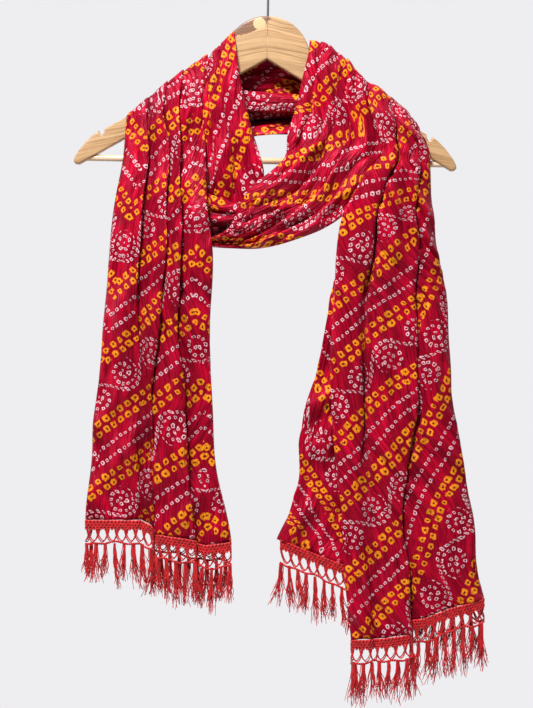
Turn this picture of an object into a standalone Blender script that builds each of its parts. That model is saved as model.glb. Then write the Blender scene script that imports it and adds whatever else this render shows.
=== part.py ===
"""A long printed stole with a fringed band at each end, wound once round a wooden hanger.

Metres, +Z up, the camera's side is -Y. The origin is the inner top of the hook.
The stole is one strip of cloth, drawn as two ribbons: a ribbon is a list of stations along
the strip, and each station names the cross-section that the pleats have there.
"""

import math
from collections import namedtuple

import bmesh
import bpy
from mathutils import Matrix, Vector

MM = 0.001
NAME = "dupatta_stole_on_hanger"

# Cloth
WALL = 1.2
SEAM = 1.3
HEM_GAP = 0.7
COLUMNS_PER_FOLD = 2

# Hanger
WOOD = 12.0
HEAD_RADIUS = 50.6
HEAD_Z = -129.4
HEAD_APEX = 0.4
HEAD_SHOULDER = (50.1, -6.5)
TILT = 1.06
MITRE = 0.3
ARM_TOP_END = (187.5, -84.1)
NOTCH = ((188.4, -88.8), (190.4, -91.6), (192.8, -90.6), (194.5, -86.5))
ARM_TIP = ((202.0, -92.4), (211.0, -101.6), (218.6, -111.6), (222.6, -119.0), (223.2, -122.8),
           (221.0, -125.6), (216.6, -125.9), (211.0, -122.6))
BAR_RADIUS = 3.75
BAR_Z = -118.0
BAR_HALF = 213.5
BAR_HOLE_END = 214.0
FIT = 0.3

# Hook
WIRE_RADIUS = 1.5
HOOK_INSIDE = 17.0
STEM_DEPTH = 22.0
STEM_TOP = -47.0
HOOK_FROM = -48.0
HOOK_TO = 196.0

# Fringe, each measured down from the hem
BAND = 10.5
NET = 15.0
CORD = 2.5
TASSEL = 45.0
BAR_OF_NET = 3.0
GAP_OF_NET = 9.0
SWAY = 2.2

CLOTH_RED = (0.42, 0.012, 0.045, 1.0)
FRINGE_RED = (0.62, 0.02, 0.03, 1.0)
WOOD_TAN = (0.61, 0.39, 0.2, 1.0)
BAR_TAN = (0.68, 0.55, 0.4, 1.0)
STEEL = (0.5, 0.5, 0.5, 1.0)

# A pleat's turn: its place across the strip (0 at the first edge, 1 at the second) and its
# depth out from the strip's back, in each named cross-section, and how far it hangs down at the hem.
FoldOne = namedtuple("FoldOne", "name hem chest shoulder back neck swag drop")
FOLDS_ONE = (
    FoldOne("edge_tuck", (0.050, 1.0), (0.070, 1.0), (0.050, 0.6),
            (0.040, 1.0), (0.040, 0.5), (0.040, 0.5), 0),
    FoldOne("first_edge", (0.000, 5.0), (0.000, 5.0), (0.000, 3.0),
            (0.000, 4.0), (0.000, 3.0), (0.000, 3.5), 0),
    FoldOne("first_belly", (0.140, 8.0), (0.150, 11.0), (0.130, 7.0),
            (0.100, 9.0), (0.090, 7.0), (0.100, 9.0), 0),
    FoldOne("first_ridge", (0.340, 10.0), (0.310, 13.0), (0.270, 10.0),
            (0.200, 10.0), (0.190, 10.0), (0.220, 12.0), 0),
    FoldOne("first_tuck", (0.390, 7.0), (0.290, 3.5), (0.280, 3.0),
            (0.200, 3.0), (0.200, 3.0), (0.240, 5.0), 0),
    FoldOne("second_ridge", (0.475, 11.0), (0.550, 15.0), (0.500, 12.0),
            (0.400, 11.0), (0.340, 11.0), (0.400, 13.0), 7),
    FoldOne("second_tuck", (0.470, 3.0), (0.500, 5.0), (0.480, 3.5),
            (0.380, 3.0), (0.330, 3.0), (0.390, 4.5), 17),
    FoldOne("third_belly", (0.540, 10.0), (0.600, 11.0), (0.560, 9.0),
            (0.480, 8.0), (0.420, 8.0), (0.470, 9.0), 17),
    FoldOne("third_ridge", (0.760, 13.0), (0.710, 15.0), (0.700, 12.0),
            (0.600, 11.0), (0.500, 11.0), (0.580, 13.0), 23),
    FoldOne("third_tuck", (0.750, 3.0), (0.670, 6.0), (0.680, 4.0),
            (0.580, 3.0), (0.490, 3.0), (0.570, 5.0), 26),
    FoldOne("fourth_belly", (0.860, 10.0), (0.820, 12.0), (0.800, 9.0),
            (0.740, 10.0), (0.640, 9.0), (0.700, 10.0), 29),
    FoldOne("fourth_ridge", (1.000, 9.0), (1.000, 10.0), (0.960, 9.0),
            (0.880, 11.0), (0.800, 11.0), (0.840, 13.0), 25),
    FoldOne("fourth_tuck", (0.960, 1.5), (0.950, 2.5), (1.000, 4.0),
            (0.880, 4.0), (0.800, 4.0), (0.840, 5.0), 22),
    FoldOne("back_near", (0.780, -3.0), (0.820, -1.0), (0.970, 0.5),
            (0.940, 7.0), (0.900, 8.0), (0.920, 9.0), 18),
    FoldOne("back_middle", (0.620, -4.0), (0.720, -2.0), (0.900, -0.5),
            (1.000, 4.0), (1.000, 3.0), (1.000, 4.0), 14),
    FoldOne("second_edge", (0.460, -4.0), (0.600, -2.0), (0.840, -0.5),
            (0.970, 0.5), (0.970, 0.5), (0.960, 0.5), 10),
)

FoldTwo = namedtuple("FoldTwo", "name neck back shoulder chest waist low hem drop")
FOLDS_TWO = (
    FoldTwo("back_end", (0.300, -1.5), (0.300, -1.0), (0.340, -1.2), (0.750, -1.5),
            (1.060, -3.0), (1.335, -4.5), (1.550, -5.0), -108),
    FoldTwo("back_middle", (0.200, -1.8), (0.200, -1.5), (0.220, -1.5), (0.500, -2.0),
            (0.700, -3.5), (0.920, -5.0), (1.050, -6.0), -66),
    FoldTwo("back_near", (0.100, -1.2), (0.100, -1.0), (0.100, -1.2), (0.250, -2.0),
            (0.350, -3.0), (0.450, -4.0), (0.500, -5.0), -33),
    FoldTwo("back_turn", (0.020, 1.0), (0.020, 1.0), (0.020, 0.6), (0.030, -0.5),
            (0.040, -1.0), (0.040, -1.5), (0.040, -1.5), -3),
    FoldTwo("first_edge", (0.000, 5.0), (0.000, 5.0), (0.000, 4.0), (0.000, 4.5),
            (0.000, 5.0), (0.000, 5.0), (0.000, 5.0), 0),
    FoldTwo("first_belly", (0.080, 9.0), (0.090, 10.0), (0.080, 9.0), (0.090, 9.0),
            (0.130, 10.0), (0.240, 9.0), (0.240, 9.0), 3),
    FoldTwo("first_ridge", (0.170, 10.0), (0.190, 12.0), (0.170, 10.0), (0.180, 9.0),
            (0.260, 9.0), (0.460, 8.0), (0.460, 8.0), 10),
    FoldTwo("first_tuck", (0.190, 5.0), (0.200, 4.0), (0.190, 3.0), (0.205, 1.5),
            (0.295, 2.0), (0.515, 2.0), (0.515, 2.0), 10),
    FoldTwo("second_ridge", (0.220, 11.0), (0.220, 12.0), (0.210, 12.0), (0.200, 13.0),
            (0.290, 13.0), (0.525, 12.0), (0.525, 12.0), 25),
    FoldTwo("second_belly", (0.400, 14.0), (0.380, 10.0), (0.360, 13.0), (0.380, 14.0),
            (0.460, 13.0), (0.620, 13.0), (0.620, 13.0), 25),
    FoldTwo("third_ridge", (0.490, 13.0), (0.520, 12.0), (0.520, 13.0), (0.580, 15.0),
            (0.670, 13.0), (0.770, 12.0), (0.770, 12.0), 24),
    FoldTwo("second_tuck", (0.530, 7.0), (0.530, 4.0), (0.550, 4.0), (0.640, 3.0),
            (0.720, 6.0), (0.810, 9.0), (0.810, 9.0), 24),
    FoldTwo("fourth_ridge", (0.570, 12.0), (0.560, 12.0), (0.570, 12.0), (0.665, 13.0),
            (0.760, 12.0), (0.860, 12.0), (0.860, 12.0), 23),
    FoldTwo("third_belly", (0.780, 11.0), (0.760, 10.0), (0.760, 11.0), (0.840, 12.0),
            (0.880, 11.0), (0.940, 10.0), (0.940, 10.0), 22),
    FoldTwo("second_edge", (1.000, 5.0), (1.000, 7.0), (1.000, 5.0), (1.000, 8.0),
            (1.000, 7.0), (1.000, 6.0), (1.000, 6.0), 21),
    FoldTwo("edge_tuck", (0.950, 0.0), (0.950, 1.0), (0.950, 0.5), (0.965, 1.5),
            (0.965, 1.5), (0.970, 1.0), (0.970, 1.0), 21),
)

FoldTurn = namedtuple("FoldTurn", "name turn drop")
FOLDS_TURN = (
    FoldTurn("lower_edge",   (0.00, 0.0), 0),
    FoldTurn("lower_hollow", (0.16, -0.5), 0),
    FoldTurn("lower_shelf",  (0.35, 0.0), 0),
    FoldTurn("lower_band",   (0.41, 5.5), 0),
    FoldTurn("lower_top",    (0.54, 5.5), 0),
    FoldTurn("upper_hollow", (0.60, -0.5), 0),
    FoldTurn("upper_shelf",  (0.68, 0.0), 0),
    FoldTurn("upper_band",   (0.74, 5.5), 0),
    FoldTurn("upper_top",    (0.92, 6.0), 0),
    FoldTurn("upper_edge",   (1.00, 2.0), 0),
)

# A place along a ribbon: its two edges (x, y, z), the way that the pleats face (0 to the camera,
# 90 up, 180 to the back), how far they stand out at each edge, their cross-section, the
# share of the hem's drop that has been reached, and the rows of faces to the next station.
Station = namedtuple("Station", "first second facing bulk section drop rows")


def over_arm(first, second, front, back, front_fall, back_fall, bulk, section, rows, backwards=False):
    """Stations that carry a ribbon from one side of an arm over its top to the other side."""
    stations = []
    for angle in (0, 45, 90, 135, 180):
        reach = front if angle < 90 else back
        fall = front_fall if angle < 90 else back_fall
        y = -math.cos(math.radians(angle)) * abs(reach)
        drop = fall * (1 - math.sin(math.radians(angle)))
        stations.append(Station(
            (first[0], y, first[1] - drop), (second[0], y, second[1] - drop),
            angle, bulk, section, 0, rows))
    return stations[::-1] if backwards else stations


LEFT_TAIL = [
    Station((-211, -10, -665), (-44, -11, -665), 0, (1.0, 1.0), "hem", 1.0, 3),
    Station((-202, -10, -585), (-60, -14, -585), 0, (1.0, 1.0), "hem", 0.8, 2),
    Station((-196, -10, -503), (-64, -20, -503), 0, (1.0, 1.0), "hem", 0.55, 2),
    Station((-189, -10, -421), (-65, -30, -421), 0, (1.0, 1.0), "chest", 0.3, 2),
    Station((-181, -10, -351), (-65, -39, -354), 0, (1.0, 1.0), "chest", 0.1, 2),
    Station((-176, -10, -293), (-69.6, -31, -296), 0, (1.0, 1.0), "chest", 0, 2),
    Station((-168, -10, -246), (-73.6, -14, -234), 0, (0.7, 1.0), "chest", 0, 3),
    Station((-165, -10, -215), (-77, -11, -167), 0, (0.5, 1.0), "shoulder", 0, 1),
]
LEFT_CREST = over_arm((-163, -193.6), (-72.4, -129.6), 10, 10, 7, 7, (0.2, 0.8), "shoulder", 1)
STRAND_A = [
    Station((-125, 18, -232), (-66, 26, -170), 180, (0.8, 1.0), "back", 0, 2),
    Station((-72, 27, -229), (-46, 28, -165), 180, (1.0, 1.0), "back", 0, 2),
    Station((-6, 28, -216), (-10, 28, -157), 180, (1.0, 1.0), "back", 0, 2),
    Station((50, 28, -206), (27, 28, -148), 180, (1.0, 1.0), "back", 0, 2),
    Station((91, 29, -194), (42, 29, -139), 180, (1.0, 1.0), "back", 0, 1),
]
COWL_CREST = over_arm((112.6, -156), (50.3, -111), 10, 30, 9, 22, (1.0, 1.0), "neck", 1, backwards=True)
COWL = [
    Station((117.4, -10, -185), (39.7, -12, -157), 0, (0.7, 1.0), "neck", 0, 2),
    Station((125.6, -11, -213), (32.7, -15, -188), 0, (0.7, 1.0), "neck", 0, 2),
    Station((129, -12, -238), (22.8, -20, -218), 0, (0.7, 1.0), "swag", 0, 2),
    Station((116, -14, -262), (19.9, -26, -244), 0, (0.7, 1.0), "swag", 0, 2),
    Station((103, -17, -296), (2.9, -30, -262), 0, (0.8, 1.0), "swag", 0, 2),
    Station((73.6, -22, -323), (-16.4, -32, -278), 0, (1.0, 1.0), "swag", 0, 2),
    Station((33.9, -27, -341), (-30.4, -32, -302), 0, (1.0, 1.0), "swag", 0, 2),
    Station((-5.8, -28, -351), (-44.4, -31, -328), 0, (0.9, 0.9), "swag", 0, 2),
    Station((-45.6, -26, -351), (-63, -26, -338), 0, (0.5, 0.5), "swag", 0, 1),
    Station((-71, -19, -348), (-75, -19, -341), 0, (0.3, 0.3), "swag", 0, 1),
]

NECK_LEFT = [
    Station((-63, -9, -335), (-28, -10, -337), 0, (0.35, 0.35), "neck", 0, 1),
    Station((-68.9, -9, -301), (-11.7, -11, -296), 0, (0.4, 0.4), "neck", 0, 1),
    Station((-69.6, -10, -272), (-4.2, -12, -266), 0, (0.8, 0.8), "neck", 0, 1),
    Station((-70, -10, -246), (-7.8, -11, -244), 0, (1.0, 1.0), "neck", 0, 2),
    Station((-71.4, -10, -217), (-17.2, -10, -214), 0, (1.0, 1.0), "neck", 0, 2),
    Station((-73.4, -10, -188), (-23.9, -10, -185), 0, (1.0, 1.0), "neck", 0, 1),
    Station((-73.8, -10, -164), (-31, -10, -152), 0, (0.9, 0.9), "neck", 0, 1),
]
NECK_CREST = over_arm((-70, -126.5), (-42.2, -96.8), 10, 10, 7, 7, (0.7, 0.7), "neck", 1)
STRAND_B = [
    Station((-62, 11, -171), (-31.5, 11, -120), 180, (1.0, 1.0), "back", 0, 1),
    Station((-37, 11, -184), (-17.5, 11, -114), 180, (1.0, 1.0), "back", 0, 1),
    Station((0, 11, -188), (0, 11, -112), 180, (1.0, 1.0), "back", 0, 2),
    Station((38, 11, -188), (23.4, 11, -120), 180, (1.0, 1.0), "back", 0, 2),
    Station((85, 11, -197), (67.7, 11, -153), 180, (1.0, 1.0), "back", 0, 2),
    Station((138, 11, -216), (93.4, 11, -166), 180, (0.8, 0.8), "back", 0, 1),
]
RIGHT_CREST = over_arm((177.5, -207.8), (114.7, -158.5), 10, 10, 7, 7, (0.4, 1.0), "shoulder", 1,
                       backwards=True)
RIGHT_TAIL = [
    Station((183.4, -10, -224), (120.4, -11, -188), 0, (0.7, 1.0), "shoulder", 0, 1),
    Station((187.5, -10, -242), (128.9, -12, -215), 0, (0.8, 1.0), "chest", 0, 1),
    Station((189, -10, -258), (133.4, -15, -241), 0, (0.9, 1.0), "chest", 0, 1),
    Station((190.4, -10, -274), (116.8, -25, -260), 0, (1.0, 1.0), "chest", 0, 1),
    Station((192, -10, -293), (103.4, -28, -282), 0, (1.0, 1.0), "chest", 0, 1),
    Station((194.5, -10, -313), (87.6, -29, -312), 0, (1.0, 1.0), "chest", 0, 2),
    Station((198, -10, -349), (80, -25, -350), 0, (1.0, 1.0), "chest", 0.04, 2),
    Station((205.6, -10, -410), (76.5, -18, -410), 0, (1.0, 1.0), "waist", 0.15, 3),
    Station((216, -10, -526), (74.8, -13, -526), 0, (1.0, 1.0), "waist", 0.4, 3),
    Station((231, -10, -640), (84, -11, -635), 0, (1.0, 1.0), "low", 0.7, 3),
    Station((244.7, -10, -731), (93.4, -10, -731), 0, (1.0, 1.0), "low", 0.93, 1),
    Station((248.8, -10, -758), (98, -10, -783), 0, (1.0, 1.0), "hem", 1.0, 0),
]
INNER_TURN = [
    Station((-74, -15, -323), (-74, -14, -283), 0, (0.5, 0.5), "turn", 0, 1),
    Station((-66.6, -20.4, -329), (-66.6, -19.4, -288), 0, (0.7, 0.7), "turn", 0, 1),
    Station((-52, -24.2, -333), (-50, -23.2, -294), 0, (1.0, 1.0), "turn", 0, 1),
    Station((-36, -25.3, -331), (-33, -24.3, -299), 0, (1.0, 1.0), "turn", 0, 1),
    Station((-20, -25.3, -325), (-17.5, -25.3, -297), 0, (0.8, 0.8), "turn", 0, 0),
]

RIBBON_ONE = LEFT_TAIL + LEFT_CREST + STRAND_A + COWL_CREST + COWL
RIBBON_TWO = NECK_LEFT + NECK_CREST + STRAND_B + RIGHT_CREST + RIGHT_TAIL

# Each cloth node: its ribbon, that ribbon's folds, and the stations where it starts and ends.
Stretch = namedtuple("Stretch", "name ribbon folds start end")
ONE_SEAMS = (len(LEFT_TAIL + LEFT_CREST) - 1, len(LEFT_TAIL + LEFT_CREST + STRAND_A))
TWO_SEAMS = (len(NECK_LEFT + NECK_CREST) - 1, len(NECK_LEFT + NECK_CREST + STRAND_B))
STRETCHES = (
    Stretch("left_tail", RIBBON_ONE, FOLDS_ONE, 0, ONE_SEAMS[0]),
    Stretch("strand_a", RIBBON_ONE, FOLDS_ONE, ONE_SEAMS[0], ONE_SEAMS[1]),
    Stretch("cowl", RIBBON_ONE, FOLDS_ONE, ONE_SEAMS[1], len(RIBBON_ONE) - 1),
    Stretch("neck_left", RIBBON_TWO, FOLDS_TWO, 0, TWO_SEAMS[0]),
    Stretch("strand_b", RIBBON_TWO, FOLDS_TWO, TWO_SEAMS[0], TWO_SEAMS[1]),
    Stretch("right_tail", RIBBON_TWO, FOLDS_TWO, TWO_SEAMS[1], len(RIBBON_TWO) - 1),
    Stretch("inner_turn", INNER_TURN, FOLDS_TURN, 0, len(INNER_TURN) - 1),
)


def new_material(name, colour, roughness, metallic=0.0):
    material = bpy.data.materials.new(name)
    material.use_nodes = True
    shader = material.node_tree.nodes["Principled BSDF"]
    shader.inputs["Base Color"].default_value = colour
    shader.inputs["Roughness"].default_value = roughness
    shader.inputs["Metallic"].default_value = metallic
    material.diffuse_color = colour
    return material


def new_collection(name, hidden=False):
    collection = bpy.data.collections.new(name)
    collection.hide_render = hidden
    bpy.context.scene.collection.children.link(collection)
    return collection


def hermite(points, places, at):
    """A smooth curve through points at rising places. A point is a tuple of numbers."""
    last = len(points) - 1
    i = 0
    while i < last - 1 and at > places[i + 1]:
        i += 1
    step = places[i + 1] - places[i]
    t = (at - places[i]) / step

    def slope(k):
        low = max(k - 1, 0)
        high = min(k + 1, last)
        span = places[high] - places[low]
        return [(b - a) / span * step for a, b in zip(points[low], points[high])]

    a = 2 * t**3 - 3 * t**2 + 1
    b = t**3 - 2 * t**2 + t
    c = 3 * t**2 - 2 * t**3
    d = t**3 - t**2
    return [a * p + b * m + c * q + d * n
            for p, m, q, n in zip(points[i], slope(i), points[i + 1], slope(i + 1))]


class Ribbon:
    """A strip of pleated cloth through a list of stations."""

    def __init__(self, stations, folds):
        self.folds = folds
        self.stations = stations
        self.rows = []
        for station in stations:
            row = [*station.first, *station.second, station.facing, *station.bulk, station.drop]
            for fold in folds:
                row.extend(getattr(fold, station.section))
            self.rows.append(row)
        self.places = [0.0]
        for before, after in zip(stations, stations[1:]):
            middle = [(Vector(s.first) + Vector(s.second)) / 2 for s in (before, after)]
            self.places.append(self.places[-1] + (middle[1] - middle[0]).length)

    def point(self, fold_place, along):
        """The cloth's middle surface. fold_place counts folds from 0, along is in mm."""
        row = hermite(self.rows, self.places, along)
        first, second = Vector(row[0:3]), Vector(row[3:6])
        facing = math.radians(row[6])
        turns = list(zip(row[10::2], row[11::2]))
        across, depth = hermite(turns, range(len(turns)), fold_place)
        low = min(int(fold_place), len(self.folds) - 2)
        share = fold_place - low
        drop = self.folds[low].drop * (1 - share) + self.folds[low + 1].drop * share
        inside = min(max(across, 0), 1)
        depth *= row[7] + (row[8] - row[7]) * inside
        out = Vector((0, -math.cos(facing), math.sin(facing)))
        point = first + (second - first) * across + out * depth
        point.z -= drop * row[9]
        return point


def grid_mesh(name, columns, rows, place):
    """A grid whose vertices are put where place(column, row) says."""
    mesh = bpy.data.meshes.new(name)
    grid = bmesh.new()
    bmesh.ops.create_grid(grid, x_segments=columns, y_segments=rows, size=0.5)
    for vertex in grid.verts:
        column = round((vertex.co.x + 0.5) * columns)
        row = round((vertex.co.y + 0.5) * rows)
        vertex.co = place(column, row) * MM
    grid.to_mesh(mesh)
    grid.free()
    return mesh


def add_shell(name, mesh, material, collection, wall=WALL):
    shell = bpy.data.objects.new(name, mesh)
    solidify = shell.modifiers.new("wall", "SOLIDIFY")
    solidify.thickness = wall * MM
    solidify.offset = 0
    mesh.materials.append(material)
    mesh.shade_smooth()
    collection.objects.link(shell)
    return shell


def row_places(ribbon, start, end):
    """Where the grid's rows lie between two stations, with half a seam left at each end."""
    places = []
    for i in range(start, end):
        rows = ribbon.stations[i].rows
        low, high = ribbon.places[i], ribbon.places[i + 1]
        places.extend(low + (high - low) * step / rows for step in range(rows))
    places.append(ribbon.places[end])
    places[0] += SEAM / 2
    places[-1] -= SEAM / 2
    return places


def build_stretch(stretch, material, collection):
    ribbon = Ribbon(stretch.ribbon, stretch.folds)
    places = row_places(ribbon, stretch.start, stretch.end)
    columns = (len(stretch.folds) - 1) * COLUMNS_PER_FOLD

    def place(column, row):
        return ribbon.point(column / COLUMNS_PER_FOLD, places[row])

    mesh = grid_mesh(stretch.name, columns, len(places) - 1, place)
    return add_shell(stretch.name, mesh, material, collection)


def hem_points(ribbon, along):
    """Points close together along a hem, and the cloth's length up to each."""
    steps = (len(ribbon.folds) - 1) * COLUMNS_PER_FOLD
    points = [ribbon.point(step / COLUMNS_PER_FOLD, along) for step in range(steps + 1)]
    lengths = [0.0]
    for before, after in zip(points, points[1:]):
        lengths.append(lengths[-1] + (after - before).length)
    return points, lengths


def build_fringe(name, ribbon, along, material, collection):
    """The crochet band, the net's loops, the cord and one strand for each tassel, in one shell."""
    points, lengths = hem_points(ribbon, along)
    repeats = int((lengths[-1] - BAR_OF_NET) / (BAR_OF_NET + GAP_OF_NET))
    repeat = (lengths[-1] - BAR_OF_NET) / repeats
    falls = [HEM_GAP, BAND, BAND + NET, BAND + NET + CORD]
    falls += [falls[-1] + TASSEL]
    rows = len(falls) - 1
    edges = [tassel * repeat + part for tassel in range(repeats + 1) for part in (0, BAR_OF_NET)]
    turns = [length for length in lengths[1:-1] if min(abs(length - edge) for edge in edges) > 0.5]
    edges = sorted(edges + turns)
    columns = len(edges) - 1

    def on_hem(length):
        i = 0
        while i < len(lengths) - 2 and length > lengths[i + 1]:
            i += 1
        return points[i].lerp(points[i + 1], (length - lengths[i]) / (lengths[i + 1] - lengths[i]))

    def place(column, row):
        point = on_hem(min(edges[column], lengths[-1]))
        tassel = round((edges[column] - BAR_OF_NET / 2) / repeat)
        loose = max(falls[row] - falls[3], 0) / TASSEL
        point.x += SWAY * loose * math.sin(tassel * 2.4)
        point.z -= falls[row] + 4 * loose * math.sin(tassel * 1.7)
        return point

    mesh = grid_mesh(name, columns, rows, place)
    grid = bmesh.new()
    grid.from_mesh(mesh)
    grid.faces.ensure_lookup_table()
    middles = [(low + high) / 2 for low, high in zip(edges, edges[1:])]
    between = [face for face in grid.faces
               if middles[face.index % columns] % repeat > BAR_OF_NET
               and face.index // columns not in (0, 2)]
    bmesh.ops.delete(grid, geom=between, context="FACES")
    grid.to_mesh(mesh)
    grid.free()
    return add_shell(name, mesh, material, collection)


def arm_outline():
    """One arm in the hanger's own frame, with the head's centre at 0 and the mitre at x = 0."""
    start = math.degrees(math.atan2(HEAD_SHOULDER[1], HEAD_SHOULDER[0]))
    points = [(MITRE / 2, HEAD_APEX)]
    points.extend(reversed(ARM_TIP))
    points.extend(reversed(NOTCH))
    points.append(ARM_TOP_END)
    steps = 14
    for step in range(steps):
        angle = math.radians(start + (90 - start) * step / steps)
        points.append((HEAD_RADIUS * math.cos(angle), HEAD_RADIUS * math.sin(angle)))
    points.append((MITRE / 2, HEAD_RADIUS))
    return points


def mesh_from_curve(curve_object, collection):
    """A mesh object in place of a curve, with its caps welded."""
    bpy.context.view_layer.update()
    graph = bpy.context.evaluated_depsgraph_get()
    mesh = bpy.data.meshes.new_from_object(curve_object.evaluated_get(graph))
    grid = bmesh.new()
    grid.from_mesh(mesh)
    bmesh.ops.remove_doubles(grid, verts=grid.verts, dist=0.00001)
    bmesh.ops.recalc_face_normals(grid, faces=grid.faces)
    grid.to_mesh(mesh)
    grid.free()
    made = bpy.data.objects.new(curve_object.name + "_solid", mesh)
    made.matrix_world = curve_object.matrix_world
    collection.objects.link(made)
    bpy.data.objects.remove(curve_object)
    return made


def outline_solid(name, points, thickness, matrix, collection):
    curve = bpy.data.curves.new(name, "CURVE")
    curve.dimensions = "2D"
    curve.fill_mode = "BOTH"
    curve.extrude = thickness / 2 * MM
    spline = curve.splines.new("POLY")
    spline.points.add(len(points) - 1)
    for target, (x, y) in zip(spline.points, points):
        target.co = (x * MM, y * MM, 0, 1)
    spline.use_cyclic_u = True
    drawn = bpy.data.objects.new(name, curve)
    drawn.matrix_world = matrix
    collection.objects.link(drawn)
    made = mesh_from_curve(drawn, collection)
    made.name = name
    return made


def add_cutter(name, radius, length, matrix, collection):
    mesh = bpy.data.meshes.new(name)
    grid = bmesh.new()
    bmesh.ops.create_cone(grid, cap_ends=True, segments=20, radius1=radius * MM,
                          radius2=radius * MM, depth=length * MM)
    grid.to_mesh(mesh)
    grid.free()
    cutter = bpy.data.objects.new(name, mesh)
    cutter.matrix_world = matrix
    cutter.hide_render = True
    cutter.display_type = "WIRE"
    collection.objects.link(cutter)
    return cutter


def cut(target, cutter):
    boolean = target.modifiers.new(cutter.name, "BOOLEAN")
    boolean.operation = "DIFFERENCE"
    boolean.solver = "EXACT"
    boolean.object = cutter


def wire(name, points, radius, material, collection):
    curve = bpy.data.curves.new(name, "CURVE")
    curve.dimensions = "3D"
    curve.bevel_depth = radius * MM
    curve.bevel_resolution = 2
    curve.use_fill_caps = True
    spline = curve.splines.new("POLY")
    spline.points.add(len(points) - 1)
    for target, point in zip(spline.points, points):
        target.co = (*(Vector(point) * MM), 1)
    curve.materials.append(material)
    made = bpy.data.objects.new(name, curve)
    collection.objects.link(made)
    return made


def hook_points(frame):
    """Up the stem, which leans with the hanger, round a bend and over the top of the hook."""
    stem = [frame @ Vector((0, 0, z)) for z in (HEAD_RADIUS - STEM_DEPTH, HEAD_RADIUS)]
    top = frame @ Vector((0, 0, STEM_TOP - HEAD_Z))
    points = stem + [top]
    radius = HOOK_INSIDE + WIRE_RADIUS
    arc = []
    steps = 14
    for step in range(steps + 1):
        angle = math.radians(HOOK_FROM + (HOOK_TO - HOOK_FROM) * step / steps)
        arc.append(Vector((radius * math.cos(angle), 0, radius * math.sin(angle) - HOOK_INSIDE)))
    tangent = (arc[1] - arc[0]).normalized()
    up = (top - stem[0]).normalized()
    span = (arc[0] - top).length
    for step in (0.2, 0.4, 0.6, 0.8):
        row = hermite([tuple(top - up * span), tuple(top), tuple(arc[0]), tuple(arc[0] + tangent * span)],
                      (0, 1, 2, 3), 1 + step)
        points.append(Vector(row))
    return points + arc


def build_hanger(materials, parts, cutters):
    frame = (
        Matrix.Translation((0, 0, HEAD_Z))
        @ Matrix.Rotation(math.radians(TILT), 4, "Y")
    )
    to_metres = Matrix.Translation(frame.translation * MM) @ frame.to_3x3().to_4x4()
    upright = Matrix.Rotation(math.radians(90), 4, "X")
    for name, side in (("arm_left", -1), ("arm_right", 1)):
        points = [(side * x, y) for x, y in arm_outline()]
        arm = outline_solid(name, points, WOOD, to_metres @ upright, parts)
        arm.data.materials.append(materials["wood"])
        stem_hole = add_cutter(
            name + "_stem_hole", WIRE_RADIUS + FIT, 2 * STEM_DEPTH + 2 * FIT,
            to_metres @ Matrix.Translation((0, 0, HEAD_RADIUS * MM)), cutters)
        bar_hole = add_cutter(
            name + "_bar_hole", BAR_RADIUS + FIT, 2 * (BAR_HOLE_END - 150),
            to_metres @ Matrix.Translation((side * 150 * MM, 0, BAR_Z * MM))
            @ Matrix.Rotation(math.radians(90), 4, "Y"), cutters)
        cut(arm, stem_hole)
        cut(arm, bar_hole)
    ends = [frame @ Vector((side * BAR_HALF, 0, BAR_Z)) for side in (-1, 1)]
    wire("bar", ends, BAR_RADIUS, materials["bar"], parts)
    wire("hook", hook_points(frame), WIRE_RADIUS, materials["steel"], parts)


def main():
    for old in list(bpy.data.objects):
        bpy.data.objects.remove(old)
    parts = new_collection(NAME)
    cutters = new_collection("cutters", hidden=True)
    materials = {
        "cloth": new_material("stole_cloth", CLOTH_RED, 0.55),
        "fringe": new_material("fringe_thread", FRINGE_RED, 0.6),
        "wood": new_material("pale_wood", WOOD_TAN, 0.5),
        "bar": new_material("bar_wood", BAR_TAN, 0.35),
        "steel": new_material("hook_steel", STEEL, 0.3, 1.0),
    }
    for stretch in STRETCHES:
        build_stretch(stretch, materials["cloth"], parts)
    left = Ribbon(RIBBON_ONE, FOLDS_ONE)
    right = Ribbon(RIBBON_TWO, FOLDS_TWO)
    build_fringe("left_fringe", left, left.places[0], materials["fringe"], parts)
    build_fringe("right_fringe", right, right.places[-1], materials["fringe"], parts)
    build_hanger(materials, parts, cutters)


main()
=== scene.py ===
"""A long printed stole with a fringed band at each end, wound once round a wooden hanger.

Metres, +Z up, the camera's side is -Y. The origin is the inner top of the hook.
The tables are in millimetres. They follow those that the solids are made from, with some crest and
edge points moved to sit nearer the photographed outline.
"""

import math
import random
from collections import namedtuple

import bmesh
import bpy
import numpy as np
from mathutils import Matrix, Vector


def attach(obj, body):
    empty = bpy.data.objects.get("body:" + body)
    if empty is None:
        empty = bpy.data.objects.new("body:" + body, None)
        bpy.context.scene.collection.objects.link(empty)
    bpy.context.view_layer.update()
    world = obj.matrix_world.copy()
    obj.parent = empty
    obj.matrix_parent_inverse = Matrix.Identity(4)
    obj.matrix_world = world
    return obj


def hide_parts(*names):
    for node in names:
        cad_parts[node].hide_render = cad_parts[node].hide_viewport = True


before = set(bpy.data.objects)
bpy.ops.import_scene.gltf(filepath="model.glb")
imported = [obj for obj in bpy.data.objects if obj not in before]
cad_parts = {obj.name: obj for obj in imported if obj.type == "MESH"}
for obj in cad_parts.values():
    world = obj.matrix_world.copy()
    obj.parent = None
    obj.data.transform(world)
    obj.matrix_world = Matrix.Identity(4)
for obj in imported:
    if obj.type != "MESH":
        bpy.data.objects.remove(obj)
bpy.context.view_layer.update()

MM = 0.001
RANDOM = random.Random(7)

# Photograph's frame
FRAME_HEIGHT = 827.0
FRAME_CENTRE = (-0.6, -472.8)
CAMERA_DISTANCE = 2000.0
SENSOR = 36.0
FLOOR_Z = -1750.0
ROOM_SHADE = 0.2

# Cloth
WALL = 0.6
CELL = 2.6
ROW_STEP = 3.0

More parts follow.
